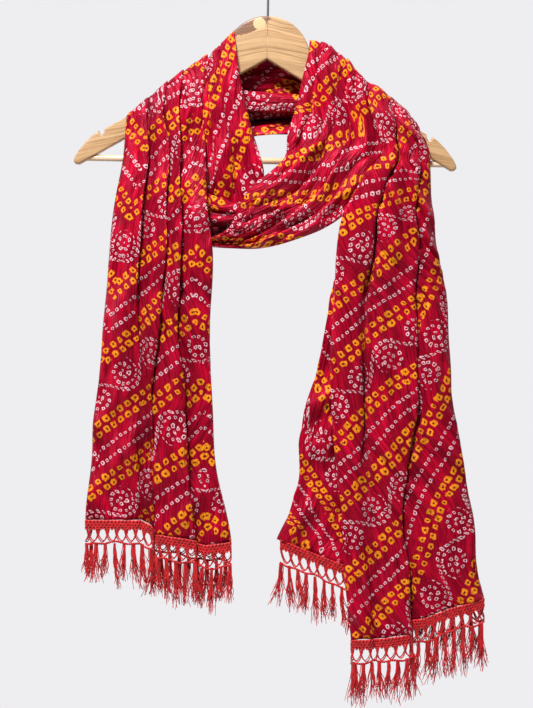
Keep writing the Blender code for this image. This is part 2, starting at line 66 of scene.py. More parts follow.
# Hanger
WOOD = 12.0
HEAD_RADIUS = 50.6
HEAD_Z = -129.4
HEAD_APEX = 0.4
HEAD_SHOULDER = (50.1, -6.5)
TILT = 1.06
MITRE = 0.3
ARM_TOP_END = (187.5, -84.1)
NOTCH = ((188.4, -88.8), (190.4, -91.6), (192.8, -90.6), (194.5, -86.5))
ARM_TIP = ((202.0, -92.4), (211.0, -101.6), (218.6, -111.6), (222.6, -119.0), (223.2, -122.8),
           (221.0, -125.6), (216.6, -125.9), (211.0, -122.6))
EDGE_ROUND = 2.2
SHARP_FROM = 40
BAR_RADIUS = 3.75
BAR_Z = -118.0
BAR_HALF = 213.5

# Hook
WIRE_RADIUS = 1.5
HOOK_INSIDE = 17.0
STEM_DEPTH = 22.0
STEM_TOP = -47.0
HOOK_FROM = -48.0
HOOK_TO = 196.0

# Fringe: the lengths down of its band, net, cord and tassels, and the mm along from tassel to tassel
BAND = 10.5
NET = 15.0
CORD = 2.5
TASSEL = 46.0
REPEAT = 11.0
TASSEL_THREADS = 24
BAND_WALL = 0.9

# A pleat's turn: its place across the strip (0 at the first edge, 1 at the second) and its
# depth out from the strip's back, in each named cross-section, and how far it hangs down at the hem.
FoldOne = namedtuple("FoldOne", "name hem chest shoulder back neck swag drop")
FOLDS_ONE = (
    FoldOne("edge_tuck", (0.05, 1), (0.07, 1), (0.05, 0.6), (0.04, 1), (0.04, 0.5), (0.04, 0.5), 0),
    FoldOne("first_edge", (0, 5), (0, 5), (0, 3), (0, 4), (0, 3), (0, 3.5), 0),
    FoldOne("first_belly", (0.14, 8), (0.15, 11), (0.13, 7), (0.1, 9), (0.09, 7), (0.1, 9), 0),
    FoldOne("first_ridge", (0.34, 10), (0.31, 13), (0.27, 10), (0.2, 10), (0.19, 10), (0.22, 12), 0),
    FoldOne("first_tuck", (0.39, 7), (0.29, 3.5), (0.28, 3), (0.2, 3), (0.2, 3), (0.24, 5), 0),
    FoldOne("second_ridge", (0.475, 11), (0.55, 15), (0.5, 12), (0.4, 11), (0.34, 11), (0.4, 13), 7),
    FoldOne("second_tuck", (0.47, 3), (0.5, 5), (0.48, 3.5), (0.38, 3), (0.33, 3), (0.39, 4.5), 17),
    FoldOne("third_belly", (0.54, 10), (0.6, 11), (0.56, 9), (0.48, 8), (0.42, 8), (0.47, 9), 17),
    FoldOne("third_ridge", (0.76, 13), (0.71, 15), (0.7, 12), (0.6, 11), (0.5, 11), (0.58, 13), 23),
    FoldOne("third_tuck", (0.75, 3), (0.67, 6), (0.68, 4), (0.58, 3), (0.49, 3), (0.57, 5), 26),
    FoldOne("fourth_belly", (0.86, 10), (0.82, 12), (0.8, 9), (0.74, 10), (0.64, 9), (0.7, 10), 29),
    FoldOne("fourth_ridge", (1, 9), (1, 10), (0.96, 9), (0.88, 11), (0.8, 11), (0.84, 13), 25),
    FoldOne("fourth_tuck", (0.96, 1.5), (0.95, 2.5), (1, 4), (0.88, 4), (0.8, 4), (0.84, 5), 22),
    FoldOne("back_near", (0.78, -3), (0.82, -1), (0.97, 0.5), (0.94, 7), (0.9, 8), (0.92, 9), 18),
    FoldOne("back_middle", (0.62, -4), (0.72, -2), (0.9, -0.5), (1, 4), (1, 3), (1, 4), 14),
    FoldOne("second_edge", (0.46, -4), (0.6, -2), (0.84, -0.5), (0.97, 0.5), (0.97, 0.5), (0.96, 0.5), 10),
)

FoldTwo = namedtuple("FoldTwo", "name neck back shoulder chest waist low hem drop")
FOLDS_TWO = (
    FoldTwo("back_end", (0.3, -1.5), (0.3, -1), (0.34, -1.2), (0.75, -1.5),
            (1.06, -3), (1.335, -4.5), (1.55, -5), -108),
    FoldTwo("back_middle", (0.2, -1.8), (0.2, -1.5), (0.22, -1.5), (0.5, -2),
            (0.7, -3.5), (0.92, -5), (1.05, -6), -66),
    FoldTwo("back_near", (0.1, -1.2), (0.1, -1), (0.1, -1.2), (0.25, -2),
            (0.35, -3), (0.45, -4), (0.5, -5), -33),
    FoldTwo("back_turn", (0.02, 1), (0.02, 1), (0.02, 0.6), (0.03, -0.5),
            (0.04, -1), (0.04, -1.5), (0.04, -1.5), -3),
    FoldTwo("first_edge", (0, 5), (0, 5), (0, 4), (0, 4.5), (0, 5), (0, 5), (0, 5), 0),
    FoldTwo("first_belly", (0.08, 9), (0.09, 10), (0.08, 9), (0.09, 9), (0.13, 10), (0.24, 9), (0.24, 9), 3),
    FoldTwo("first_ridge", (0.17, 10), (0.19, 12), (0.17, 10), (0.18, 9),
            (0.26, 9), (0.46, 8), (0.46, 8), 10),
    FoldTwo("first_tuck", (0.19, 5), (0.2, 4), (0.19, 3), (0.205, 1.5),
            (0.295, 2), (0.515, 2), (0.515, 2), 10),
    FoldTwo("second_ridge", (0.22, 11), (0.22, 12), (0.21, 12), (0.2, 13),
            (0.29, 13), (0.525, 12), (0.525, 12), 25),
    FoldTwo("second_belly", (0.4, 14), (0.38, 10), (0.36, 13), (0.38, 14),
            (0.46, 13), (0.62, 13), (0.62, 13), 25),
    FoldTwo("third_ridge", (0.49, 13), (0.52, 12), (0.52, 13), (0.58, 15),
            (0.67, 13), (0.77, 12), (0.77, 12), 24),
    FoldTwo("second_tuck", (0.53, 7), (0.53, 4), (0.55, 4), (0.64, 3), (0.72, 6), (0.81, 9), (0.81, 9), 24),
    FoldTwo("fourth_ridge", (0.57, 12), (0.56, 12), (0.57, 12), (0.665, 13),
            (0.76, 12), (0.86, 12), (0.86, 12), 23),
    FoldTwo("third_belly", (0.78, 11), (0.76, 10), (0.76, 11), (0.84, 12),
            (0.88, 11), (0.94, 10), (0.94, 10), 22),
    FoldTwo("second_edge", (1, 5), (1, 7), (1, 5), (1, 8), (1, 7), (1, 6), (1, 6), 21),
    FoldTwo("edge_tuck", (0.95, 0), (0.95, 1), (0.95, 0.5), (0.965, 1.5),
            (0.965, 1.5), (0.97, 1), (0.97, 1), 21),
)

FoldTurn = namedtuple("FoldTurn", "name turn drop")
FOLDS_TURN = (
    FoldTurn("lower_edge",   (0.00, 0.0), 0),
    FoldTurn("lower_hollow", (0.16, -0.5), 0),
    FoldTurn("lower_shelf",  (0.35, 0.0), 0),
    FoldTurn("lower_band",   (0.41, 5.5), 0),
    FoldTurn("lower_top",    (0.54, 5.5), 0),
    FoldTurn("upper_hollow", (0.60, -0.5), 0),
    FoldTurn("upper_shelf",  (0.68, 0.0), 0),
    FoldTurn("upper_band",   (0.74, 5.5), 0),
    FoldTurn("upper_top",    (0.92, 6.0), 0),
    FoldTurn("upper_edge",   (1.00, 2.0), 0),
)

# A place along a ribbon: its two edges (x, y, z), the way that the pleats face (0 to the camera,
# 90 up, 180 to the back), how far they stand out at each edge, their cross-section, the
# share of the hem's drop that has been reached.
Station = namedtuple("Station", "first second facing bulk section drop", defaults=(0,))


def stations(facing, *rows):
    """Stations that face one way. A row holds both edges, the two bulks, the section and the drop."""
    return [Station(row[:3], row[3:6], facing, row[6:8], *row[8:]) for row in rows]


def over_arm(first, second, front, back, front_fall, back_fall, bulk, section, backwards=False):
    """Stations that carry a ribbon from one side of an arm over its top to the other side."""
    found = []
    for angle in (0, 45, 90, 135, 180):
        reach = front if angle < 90 else back
        fall = front_fall if angle < 90 else back_fall
        y = -math.cos(math.radians(angle)) * abs(reach)
        drop = fall * (1 - math.sin(math.radians(angle)))
        found.append(Station((first[0], y, first[1] - drop), (second[0], y, second[1] - drop),
                             angle, bulk, section))
    return found[::-1] if backwards else found


LEFT_TAIL = stations(
    0,
    (-211, -10, -665, -44, -11, -665, 1, 1, "hem", 1),
    (-202, -10, -585, -60, -14, -585, 1, 1, "hem", 0.8),
    (-196, -10, -503, -64, -20, -503, 1, 1, "hem", 0.55),
    (-189, -10, -421, -65, -30, -421, 1, 1, "chest", 0.3),
    (-181, -10, -351, -65, -39, -354, 1, 1, "chest", 0.1),
    (-176, -10, -293, -69.6, -31, -296, 1, 1, "chest"),
    (-168, -10, -246, -70.6, -15, -234, 0.7, 1, "chest"),
    (-165, -10, -215, -73, -12, -167, 0.5, 0.8, "shoulder"),
)
LEFT_CREST = over_arm((-163, -193.6), (-69.4, -123), 10, 10, 7, 7, (0.2, 0.3), "shoulder")
STRAND_A = stations(
    180,
    (-125, 18, -232, -66, 26, -170, 0.8, 1, "back"),
    (-72, 27, -225, -46, 28, -165, 1, 1, "back"),
    (-6, 28, -216, -10, 28, -157, 1, 1, "back"),
    (50, 28, -213, 27, 28, -148, 1, 1, "back"),
    (91, 29, -198, 42, 29, -139, 1, 1, "back"),
)
COWL_CREST = over_arm((116.5, -156.5), (50.3, -106), 10, 30, 9, 22, (0.35, 0.3), "neck", backwards=True)
COWL = stations(
    0,
    (121, -8.5, -185, 39.7, -12, -157, 0.7, 1, "neck"),
    (132, -8.8, -213, 32.7, -15, -188, 0.7, 1, "neck"),
    (137, -9, -238, 22.8, -20, -218, 0.7, 1, "swag"),
    (120, -12, -262, 19.9, -26, -244, 0.7, 1, "swag"),
    (103, -17, -296, 2.9, -30, -262, 0.8, 1, "swag"),
    (73.6, -22, -323, -16.4, -32, -278, 1, 1, "swag"),
    (33.9, -27, -341, -30.4, -32, -302, 1, 1, "swag"),
    (-5.8, -28, -351, -44.4, -31, -328, 0.9, 0.9, "swag"),
    (-45.6, -26, -351, -63, -26, -338, 0.5, 0.5, "swag"),
    (-71, -19, -348, -75, -19, -341, 0.3, 0.3, "swag"),
)

NECK_LEFT = stations(
    0,
    (-63, -9, -335, -28, -10, -337, 0.35, 0.35, "neck"),
    (-74, -9, -301, -11.7, -11, -296, 0.4, 0.4, "neck"),
    (-73, -9, -272, -4.2, -12, -266, 0.8, 0.8, "neck"),
    (-74, -8.5, -246, -7.8, -11, -244, 1, 1, "neck"),
    (-76, -8.5, -217, -17.2, -10, -214, 1, 1, "neck"),
    (-78, -8.5, -188, -23.9, -10, -185, 1, 1, "neck"),
    (-77, -8.5, -164, -31, -10, -152, 0.9, 0.9, "neck"),
)
NECK_CREST = over_arm((-72, -133), (-38, -95), 10, 10, 7, 7, (0.3, 0.3), "neck")
STRAND_B = stations(
    180,
    (-62, 11, -171, -31.5, 11, -120, 1, 1, "back"),
    (-37, 11, -184, -17.5, 11, -114, 1, 1, "back"),
    (0, 11, -188, 0, 11, -112, 1, 1, "back"),
    (38, 11, -188, 23.4, 11, -120, 1, 1, "back"),
    (85, 11, -197, 67.7, 11, -153, 1, 1, "back"),
    (138, 11, -216, 93.4, 11, -166, 0.8, 0.8, "back"),
)
RIGHT_CREST = over_arm((177.5, -207.8), (114.7, -154.5), 10, 10, 7, 7, (0.25, 0.35), "shoulder",
                       backwards=True)
RIGHT_TAIL = stations(
    0,
    (183.4, -10, -224, 120.4, -11, -188, 0.7, 1, "shoulder"),
    (187.5, -10, -242, 128.9, -12, -215, 0.8, 1, "chest"),
    (189, -10, -258, 133.4, -15, -241, 0.9, 1, "chest"),
    (190.4, -10, -274, 116.8, -25, -260, 1, 1, "chest"),
    (192, -10, -293, 103.4, -28, -282, 1, 1, "chest"),
    (194.5, -10, -313, 87.6, -29, -312, 1, 1, "chest"),
    (198, -10, -349, 80, -25, -350, 1, 1, "chest", 0.04),
    (205.6, -10, -410, 76.5, -18, -410, 1, 1, "waist", 0.15),
    (216, -10, -526, 74.8, -13, -526, 1, 1, "waist", 0.4),
    (231, -10, -640, 84, -11, -635, 1, 1, "low", 0.7),
    (244.7, -10, -731, 93.4, -10, -731, 1, 1, "low", 0.93),
    (248.8, -10, -758, 98, -10, -783, 1, 1, "hem", 1),
)
INNER_TURN = stations(
    0,
    (-74, -15, -338, -74, -14, -283, 0.5, 0.5, "turn"),
    (-66.6, -20.4, -342, -66.6, -19.4, -288, 0.7, 0.7, "turn"),
    (-52, -23.6, -341, -50, -23.2, -294, 1, 1, "turn"),
    (-36, -25.3, -334, -33, -24.3, -299, 1, 1, "turn"),
    (-20, -25.3, -325, -17.5, -25.3, -297, 0.8, 0.8, "turn"),
)

RIBBON_ONE = LEFT_TAIL + LEFT_CREST + STRAND_A + COWL_CREST + COWL
RIBBON_TWO = NECK_LEFT + NECK_CREST + STRAND_B + RIGHT_CREST + RIGHT_TAIL

# Each cloth node: its ribbon, that ribbon's folds, and the stations where it starts and ends.
Stretch = namedtuple("Stretch", "name ribbon folds start end")
ONE_SEAMS = (len(LEFT_TAIL + LEFT_CREST) - 1, len(LEFT_TAIL + LEFT_CREST + STRAND_A))
TWO_SEAMS = (len(NECK_LEFT + NECK_CREST) - 1, len(NECK_LEFT + NECK_CREST + STRAND_B))
STRETCHES = (
    Stretch("left_tail", RIBBON_ONE, FOLDS_ONE, 0, ONE_SEAMS[0]),
    Stretch("strand_a", RIBBON_ONE, FOLDS_ONE, ONE_SEAMS[0], ONE_SEAMS[1]),
    Stretch("cowl", RIBBON_ONE, FOLDS_ONE, ONE_SEAMS[1], len(RIBBON_ONE) - 1),
    Stretch("neck_left", RIBBON_TWO, FOLDS_TWO, 0, TWO_SEAMS[0]),
    Stretch("strand_b", RIBBON_TWO, FOLDS_TWO, TWO_SEAMS[0], TWO_SEAMS[1]),
    Stretch("right_tail", RIBBON_TWO, FOLDS_TWO, TWO_SEAMS[1], len(RIBBON_TWO) - 1),
    Stretch("inner_turn", INNER_TURN, FOLDS_TURN, 0, len(INNER_TURN) - 1),
)

# The print on one panel between two tucks: the folds that it spans, the fold that it is measured
# from, the stripes' slant, how far its motifs slide along the stripes and the mm along that fold
# where a repeat starts, its size, and which way up it is. A mirror is the mm across where the
# stripes turn back, how that shifts per mm along, and whether they meet low (-1) or high (1).
Panel = namedtuple("Panel", "stretch folds measured_from slant start size up mirror")
PANELS = (
    Panel("left_tail", (0, 5.5), 1.5, 40, (0, 35), 1.06, 1, (-20, 0.095, -1)),
    Panel("left_tail", (5.5, 8.5), 7.4, 34, (0, 9), 0.96, 1, None),
    Panel("left_tail", (8.5, 11.5), 10.0, 38, (24, 106), 1.04, 1, (6, 0, 1)),
    Panel("left_tail", (11.5, 15), 13.0, 38, (0, 40), 1.0, 1, None),
    Panel("strand_a", (0, 15), 7.0, 50, (0, 0), 1.0, 1, None),
    Panel("cowl", (0, 15), 9.0, 40, (0, 86), 1.0, -1, None),
    Panel("neck_left", (0, 15), 9.0, 60, (0, 60), 1.0, 1, None),
    Panel("strand_b", (0, 15), 8.0, 50, (0, 0), 1.0, 1, None),
    Panel("right_tail", (0, 3.5), 1.5, 58, (10, 470), 1.0, -1, None),
    Panel("right_tail", (3.5, 7.5), 5.3, 62, (0, 505), 1.0, -1, None),
    Panel("right_tail", (7.5, 15), 13.2, 40, (0, 529), 1.02, -1, None),
    Panel("inner_turn", (0, 9), 5.0, 40, (0, 0), 1.0, 1, None),
)

# A crease pressed in: the fold places where it starts and ends, the shares of the
# stretch's length, how deep it goes (a ridge is above zero) and how wide it is, in mm.
Crease = namedtuple("Crease", "stretch folds share depth width")
CREASES = [Crease(stretch, *line) for stretch, lines in (
    ("left_tail", (
        ((1.3, 1.6), (0.02, 0.55), -1.6, 4),
        ((2.2, 2.4), (0.1, 0.8), 1.4, 5),
        ((2.7, 2.5), (0.3, 0.98), -1.5, 4),
        ((5.4, 5.2), (0.05, 0.6), -1.6, 5),
        ((7.3, 7.4), (0, 0.72), -1.8, 5),
        ((7.8, 7.6), (0.2, 0.95), 1.5, 6),
        ((10.4, 10.3), (0, 0.85), -1.6, 5),
        ((10.8, 10.9), (0.15, 0.6), 1.3, 4),
    )),
    ("right_tail", (
        ((5.3, 5.4), (0.1, 0.7), -1.5, 4),
        ((5.7, 5.5), (0.35, 0.98), -1.4, 4),
        ((8.6, 8.4), (0.2, 0.98), -1.8, 5),
        ((9.3, 9.5), (0.1, 0.75), 1.5, 6),
        ((9.7, 9.6), (0.4, 0.98), -1.6, 5),
        ((12.5, 12.4), (0.25, 0.98), -1.7, 5),
        ((13.4, 13.3), (0.15, 0.9), -1.6, 5),
        ((13.7, 13.8), (0.45, 0.98), 1.4, 5),
    )),
    ("cowl", (
        ((2.4, 2.5), (0.1, 0.8), -1.3, 3),
        ((5.4, 5.5), (0.15, 0.85), -1.3, 3),
        ((7.5, 7.4), (0.1, 0.8), -1.4, 4),
        ((10.5, 10.4), (0.12, 0.9), -1.3, 3),
        ((13.3, 13.4), (0.2, 0.9), -1.4, 4),
    )),
    ("neck_left", (
        ((5.4, 5.5), (0.2, 0.95), -1.2, 3),
        ((9.4, 9.3), (0.1, 0.9), -1.3, 3),
        ((13, 13.2), (0.2, 0.9), -1.2, 3),
    )),
    ("strand_a", (
        ((2.3, 2.4), (0.05, 0.95), -1.3, 4),
        ((1.9, 1.9), (0.2, 0.98), -17, 12),
        ((5.2, 5.2), (0.2, 0.98), 13, 8),
        ((7.4, 7.3), (0.05, 0.95), -1.3, 4),
    )),
    ("inner_turn", (
        ((1, 1), (0.1, 0.9), -5, 8),
    )),
    ("strand_b", (
        ((5.4, 5.3), (0.05, 0.95), -1.3, 4),
        ((9.5, 9.4), (0.05, 0.95), -1.3, 4),
    )),
) for line in lines]

# How far the cloth arches up over an arm between the edges of a stretch, by the place along the hanger.
CREST_RISE = ((-130, 2), (-60, 0), (82, 9.5), (146, 5))

# Where the right tail's back layer shows, how far its selvedge moves across, by height.
SELVEDGE_MOVES = ((-760, 0), (-687.7, -4.0), (-662, -3.0), (-636, -9.0), (-611, -4.5), (-590, 0),
                  (-560, 5.0), (-509, -4.0), (-484.5, -6.0), (-441.2, 2.0), (-424.9, 5.3),
                  (-394.5, 7.5), (-370, 0))
BACK_LAYER_FOLDS = 3.0

# Painted shade in a deep recess that hardly any light reaches, placed as a crease is: how dark the painted
# shade is, and how wide in mm.
PaintedShadeHollow = namedtuple("PaintedShadeHollow", "stretch folds share dark width")
PAINTED_SHADE_HOLLOWS = [PaintedShadeHollow(stretch, *line) for stretch, lines in (
    ("strand_a", (
        ((5, 5), (0.1, 1.05), 1, 7),
    )),
    ("inner_turn", (
        ((0.9, 0.9), (-0.6, 1.3), 1, 16),
        ((5.2, 5.2), (-0.6, 1.1), 0.8, 3),
    )),
    ("left_tail", (
        ((4.2, 4.4), (-0.1, 0.62), 0.4, 16),
        ((4.3, 4.1), (0.5, 1.2), 0.45, 12),
        ((6.2, 6), (0.1, 1.15), 0.38, 14),
        ((9.2, 9.4), (-0.2, 0.75), 0.4, 15),
        ((2, 2.9), (0.15, 0.6), 0.3, 9),
        ((7.8, 7.2), (0.35, 0.95), 0.26, 8),
        ((11, 10.2), (0.4, 1), 0.28, 9),
    )),
    ("right_tail", (
        ((7, 7), (-0.1, 1.1), 0.55, 10),
        ((11, 11.2), (-0.1, 1.1), 0.5, 9),
        ((9, 9.3), (0.05, 0.6), 0.25, 8),
        ((3.4, 3.4), (-0.1, 1.1), 0.45, 12),
    )),
    ("cowl", (
        ((9.2, 9.2), (-0.1, 0.7), 0.35, 8),
    )),
) for line in lines]

# The print, flat, in mm: one repeat across the slant holds two double rows of large dots,
# two single rows of small ones between them and a band of spirals.
REPEAT_OF_PRINT = 127.0
LARGE_ROWS = (5.5, 16.7, 64.5, 75.7)
SMALL_ROWS = (33.0, 48.0)
FIRST_PAIR = 11.1
LARGE_PITCH = 11.3
SMALL_PITCH = 7.1
LARGE_DOT = 4.25
SMALL_DOT = 2.3
LARGE_EYE = 0.31
SMALL_EYE = 0.43
SPIRAL_PITCH = 6.9
BAND_MIDDLE = 104.1
BAND_HALF = 24.5
SPIRAL_CELL = 46.0
SPIRAL_STEP = 8.9
SPIRAL_RADIUS = 17.2
SPIRAL_RISE = 5.5
WAVE_HEIGHT = 17.0
# How far the second of two rows slides along the first.
LARGE_OFFSET = 4.6
SMALL_OFFSET = 2.9
# The cloth's narrow pressed strips, and how far the print strays from its lines.
STRIP_WIDTH = 10.5
RAGGED = 4.4
RAGGED_MIDDLE = 3.1

# How far a fold strays across its stretch, as a share, at the edges and how much more in the middle.
EDGE_STRAY = 0.012
INNER_STRAY = 0.014
# How much a fold's depth varies along it, as a share.
DEPTH_STRAY = 0.12

# How far the cloth crumples, in mm, and the part of it that goes where the cloth lies over an arm.
CREST_CALM = 0.65
Crumple = namedtuple("Crumple", "across along height")
CRUMPLES = (
    Crumple(46.0, 110.0, 1.8),
    Crumple(17.0, 90.0, 1.05),
    Crumple(9.0, 60.0, 0.42),
)

collection = bpy.data.collections.new("dressed")
bpy.context.scene.collection.children.link(collection)


def srgb(red, green, blue):
    """A colour given as 0 to 255, as a screen shows it."""
    def linear(value):
        value /= 255
        return value / 12.92 if value < 0.04045 else ((value + 0.055) / 1.055) ** 2.4
    return linear(red), linear(green), linear(blue), 1.0


class Sum:
    """A number in a shader. Sums on it add Math nodes."""

    def __init__(self, finish, socket):
        self.finish = finish
        self.socket = socket

    def op(self, kind, *others):
        return self.finish.math(kind, self, *others)

    def __add__(self, other):
        return self.op("ADD", other)

    __radd__ = __add__

    def __sub__(self, other):
        return self.op("SUBTRACT", other)

    def __rsub__(self, other):
        return self.finish.math("SUBTRACT", other, self)

    def __mul__(self, other):
        return self.op("MULTIPLY", other)

    __rmul__ = __mul__

    def __truediv__(self, other):
        return self.op("DIVIDE", other)

    def __pow__(self, other):
        return self.op("POWER", other)

    def __abs__(self):
        return self.op("ABSOLUTE")


class Finish:
    """A material and the nodes that make it."""

    def __init__(self, name, roughness=0.5, metallic=0.0, **constants):
        self.material = bpy.data.materials.new(name)
        self.material.use_nodes = True
        self.tree = self.material.node_tree
        self.shader = self.tree.nodes["Principled BSDF"]
        self.shader.inputs["Roughness"].default_value = roughness
        self.shader.inputs["Metallic"].default_value = metallic
        for socket, value in constants.items():
            self.shader.inputs[socket.replace("_", " ")].default_value = value

    def node(self, kind, settings=None, out=0, **inputs):
        """A node of a kind, its settings set first, then its sockets by number or name."""
        node = self.tree.nodes.new(kind)
        for key, value in (settings or {}).items():
            if key == "stops":
                while len(node.color_ramp.elements) < len(value):
                    node.color_ramp.elements.new(0.5)
                for stop, (place, colour) in zip(node.color_ramp.elements, value):
                    stop.position = place
                    stop.color = colour
            else:
                setattr(node, key, value)
        for key, value in inputs.items():
            number = key.removeprefix("at")
            socket = node.inputs[int(number)] if number.isdigit() else node.inputs[key.replace("_", " ")]
            self.feed(socket, value)
        return Sum(self, node.outputs[out])

    def feed(self, socket, value):
        if isinstance(value, Sum):
            self.tree.links.new(value.socket, socket)
        else:
            socket.default_value = value

    def flat_map(self, name):
        """A UV map's two numbers, in mm."""
        apart = self.node("ShaderNodeSeparateXYZ", Vector=self.node("ShaderNodeUVMap", {"uv_map": name}))
        second = Sum(self, apart.socket.node.outputs[1])
        return apart * 1000.0, second * 1000.0

    def math(self, operation, *values):
        inputs = {f"at{i}": value for i, value in enumerate(values)}
        return self.node("ShaderNodeMath", {"operation": operation}, **inputs)

    def floor(self, value):
        return self.math("FLOOR", value)

    def smooth(self, value, low, high):
        """0 at low and 1 at high, which may be the smaller of the two."""
        return self.node("ShaderNodeMapRange", {"interpolation_type": "SMOOTHSTEP"},
                         Value=value, From_Min=low, From_Max=high)

    def hash(self, value):
        return self.node("ShaderNodeTexWhiteNoise", {"noise_dimensions": "1D"}, W=value)

    def vector(self, x, y, z=0.0):
        return self.node("ShaderNodeCombineXYZ", X=x, Y=y, Z=z)

    def noise(self, vector, scale, detail=2.0, rough=0.5):
        return self.node("ShaderNodeTexNoise", Vector=vector, Scale=scale, Detail=detail, Roughness=rough)

    def mix(self, share, first, second):
        return self.node("ShaderNodeMix", {"data_type": "RGBA"}, out=2, at0=share, at6=first, at7=second)

    def paint(self, colour):
        self.feed(self.shader.inputs["Base Color"], colour)

    def bump(self, height, distance=0.001, strength=1.0):
        made = self.node("ShaderNodeBump", Height=height, Distance=distance, Strength=strength)
        self.feed(self.shader.inputs["Normal"], made)


def nearest(finish, value, rows):
    """The distance from a value to the nearest of some rows."""
    best = abs(value - rows[0])
    for row in rows[1:]:
        best = finish.math("MINIMUM", best, abs(value - row))
    return best


def tied_dots(finish, off, along, pitch, radius, seed, eye):
    """Squarish tied dots in a row: how much of one there is, and of its dark middle."""
    number = finish.math("ROUND", along / pitch)
    chance = finish.hash(number + seed)
    t = along - number * pitch
    t2 = t * t * 1.1
    n2 = off * off
    reach = (t2 * t2 + n2 * n2) ** 0.25
    size = radius * (0.8 + 0.3 * chance)
    dot = finish.smooth(reach, size, size - 0.2 * radius)
    middle = finish.smooth(reach, (eye + 0.09) * radius, (eye - 0.09) * radius)
    return dot, middle


def crinkle_lines(finish, u, v):
    """1 on the cloth and 0 along thin wandering lines."""
    return finish.smooth(abs(finish.noise(finish.vector(u, v), 1.0, 1.0) - 0.5), 0.0, 0.06)


def stole_cloth(name):
    """The printed crimson cloth. It reads three maps in metres: the flat cloth, the print and the painted
    shade of the deep hollows.
    """
    finish = Finish(name, Sheen_Weight=0.09, Sheen_Roughness=0.4, Specular_IOR_Level=0.45)
    finish.shader.inputs["Sheen Tint"].default_value = srgb(255, 70, 100)
    finish.shader.inputs["Specular Tint"].default_value = srgb(255, 120, 150)
    u, v = finish.flat_map("flat")
    print_u, print_v = finish.flat_map("print")
    wander = finish.noise(finish.vector(u / 400.0, v / 90.0), 2.0, 1.0)
    strip = u / STRIP_WIDTH + wander * 5.0
    strip_number = finish.floor(strip)
    strip_place = strip - strip_number
    jump = finish.hash(strip_number + 3.7)
    jump_up = finish.hash(strip_number + 91.3)
    ragged = finish.noise(finish.vector(u, v), 0.13, 1.0)
    ragged_up = finish.noise(finish.vector(u + 40.0, v), 0.13, 1.0)
    along = print_u + jump * 2.4 + ragged * RAGGED
    rise = print_v + jump_up * 1.8 + ragged_up * RAGGED - RAGGED_MIDDLE
    repeat = finish.floor(rise / REPEAT_OF_PRINT)
    place = rise - repeat * REPEAT_OF_PRINT

    middle_of_rows = (LARGE_ROWS[0] + LARGE_ROWS[3]) / 2
    second_row = finish.math("GREATER_THAN", abs(place - middle_of_rows), middle_of_rows - FIRST_PAIR)
    large, large_eye = tied_dots(
        finish, nearest(finish, place, LARGE_ROWS), along + second_row * LARGE_OFFSET,
        LARGE_PITCH, LARGE_DOT, repeat * 37.0, LARGE_EYE)
    upper = finish.math("GREATER_THAN", place, sum(SMALL_ROWS) / 2)
    small, small_eye = tied_dots(
        finish, nearest(finish, place, SMALL_ROWS), along + upper * SMALL_OFFSET,
        SMALL_PITCH, SMALL_DOT, repeat * 53.0 + 11.0, SMALL_EYE)

    cell = finish.floor(along / SPIRAL_CELL)
    turn = 1.0 - 2.0 * finish.math("FLOORED_MODULO", cell, 2.0)
    in_cell = (along - (cell + 0.5) * SPIRAL_CELL) * turn
    in_band = (place - BAND_MIDDLE) * turn
    cx = in_cell
    cy = in_band - SPIRAL_RISE
    radius = finish.math("SQRT", cx * cx + cy * cy)
    angle = finish.math("ARCTAN2", cy, cx) / math.tau
    arm = finish.math("ROUND", radius / SPIRAL_STEP - angle) + angle
    off_spiral = radius - arm * SPIRAL_STEP
    on_spiral = arm * arm * (SPIRAL_STEP * math.pi)
    spiral, spiral_eye = tied_dots(
        finish, off_spiral, on_spiral, SPIRAL_PITCH, SMALL_DOT, cell * 7.0, SMALL_EYE)
    inside = finish.math("LESS_THAN", radius, SPIRAL_RADIUS)

    k = math.pi / SPIRAL_CELL
    wave = -WAVE_HEIGHT * finish.math("SINE", along * k)
    lean = WAVE_HEIGHT * k * finish.math("COSINE", along * k)
    off_wave = (place - BAND_MIDDLE - wave) / finish.math("SQRT", 1.0 + lean * lean)
    on_wave = along * 1.27 + finish.math("SINE", along * (2 * k)) * (0.27 / (2 * k))
    waved, waved_eye = tied_dots(finish, off_wave, on_wave, SPIRAL_PITCH, SMALL_DOT, 5.0, SMALL_EYE)

    band = finish.math("LESS_THAN", abs(place - BAND_MIDDLE), BAND_HALF)
    motif = finish.math("MAXIMUM", spiral * inside, waved) * band
    motif_eye = finish.math("MAXIMUM", spiral_eye * inside, waved_eye) * band
    white = finish.math("MAXIMUM", small, motif)
    eye = finish.math("MAXIMUM", finish.math("MAXIMUM", small_eye, motif_eye), large_eye)

    # Painted sheen: lighter streaks and patches of the ground stand in for the silk's highlights, and the
    # cloth is a little less rough there.
    streaks = finish.noise(finish.vector(u / 6.0, v / 55.0), 1.0, 3.0)
    patches = finish.noise(finish.vector(u, v), 0.035, 2.0)
    painted_sheen = finish.smooth(streaks * 0.55 + patches * 0.45, 0.42, 0.66)
    ground = finish.mix(painted_sheen, srgb(148, 0, 32), srgb(206, 8, 50))
    fine = crinkle_lines(finish, u / 3.4, v / 44.0)
    bold = crinkle_lines(finish, u / 8.0 + 7.0, v / 90.0)
    # Painted shade: the ground darkens along the crinkle lines, where the cloth folds tight.
    ground = finish.mix((1.0 - fine * bold) * 0.28, ground, srgb(84, 0, 18))
    faded = finish.noise(finish.vector(u, v), 0.5, 2.0)
    white_dye = finish.mix(finish.smooth(faded, 0.3, 0.7), srgb(246, 214, 220), srgb(228, 170, 184))
    orange_dye = finish.mix(finish.smooth(faded, 0.35, 0.65), srgb(238, 128, 4), srgb(250, 170, 36))
    colour = finish.mix(white, ground, white_dye)
    colour = finish.mix(large, colour, orange_dye)
    colour = finish.mix(eye, colour, srgb(120, 4, 20))
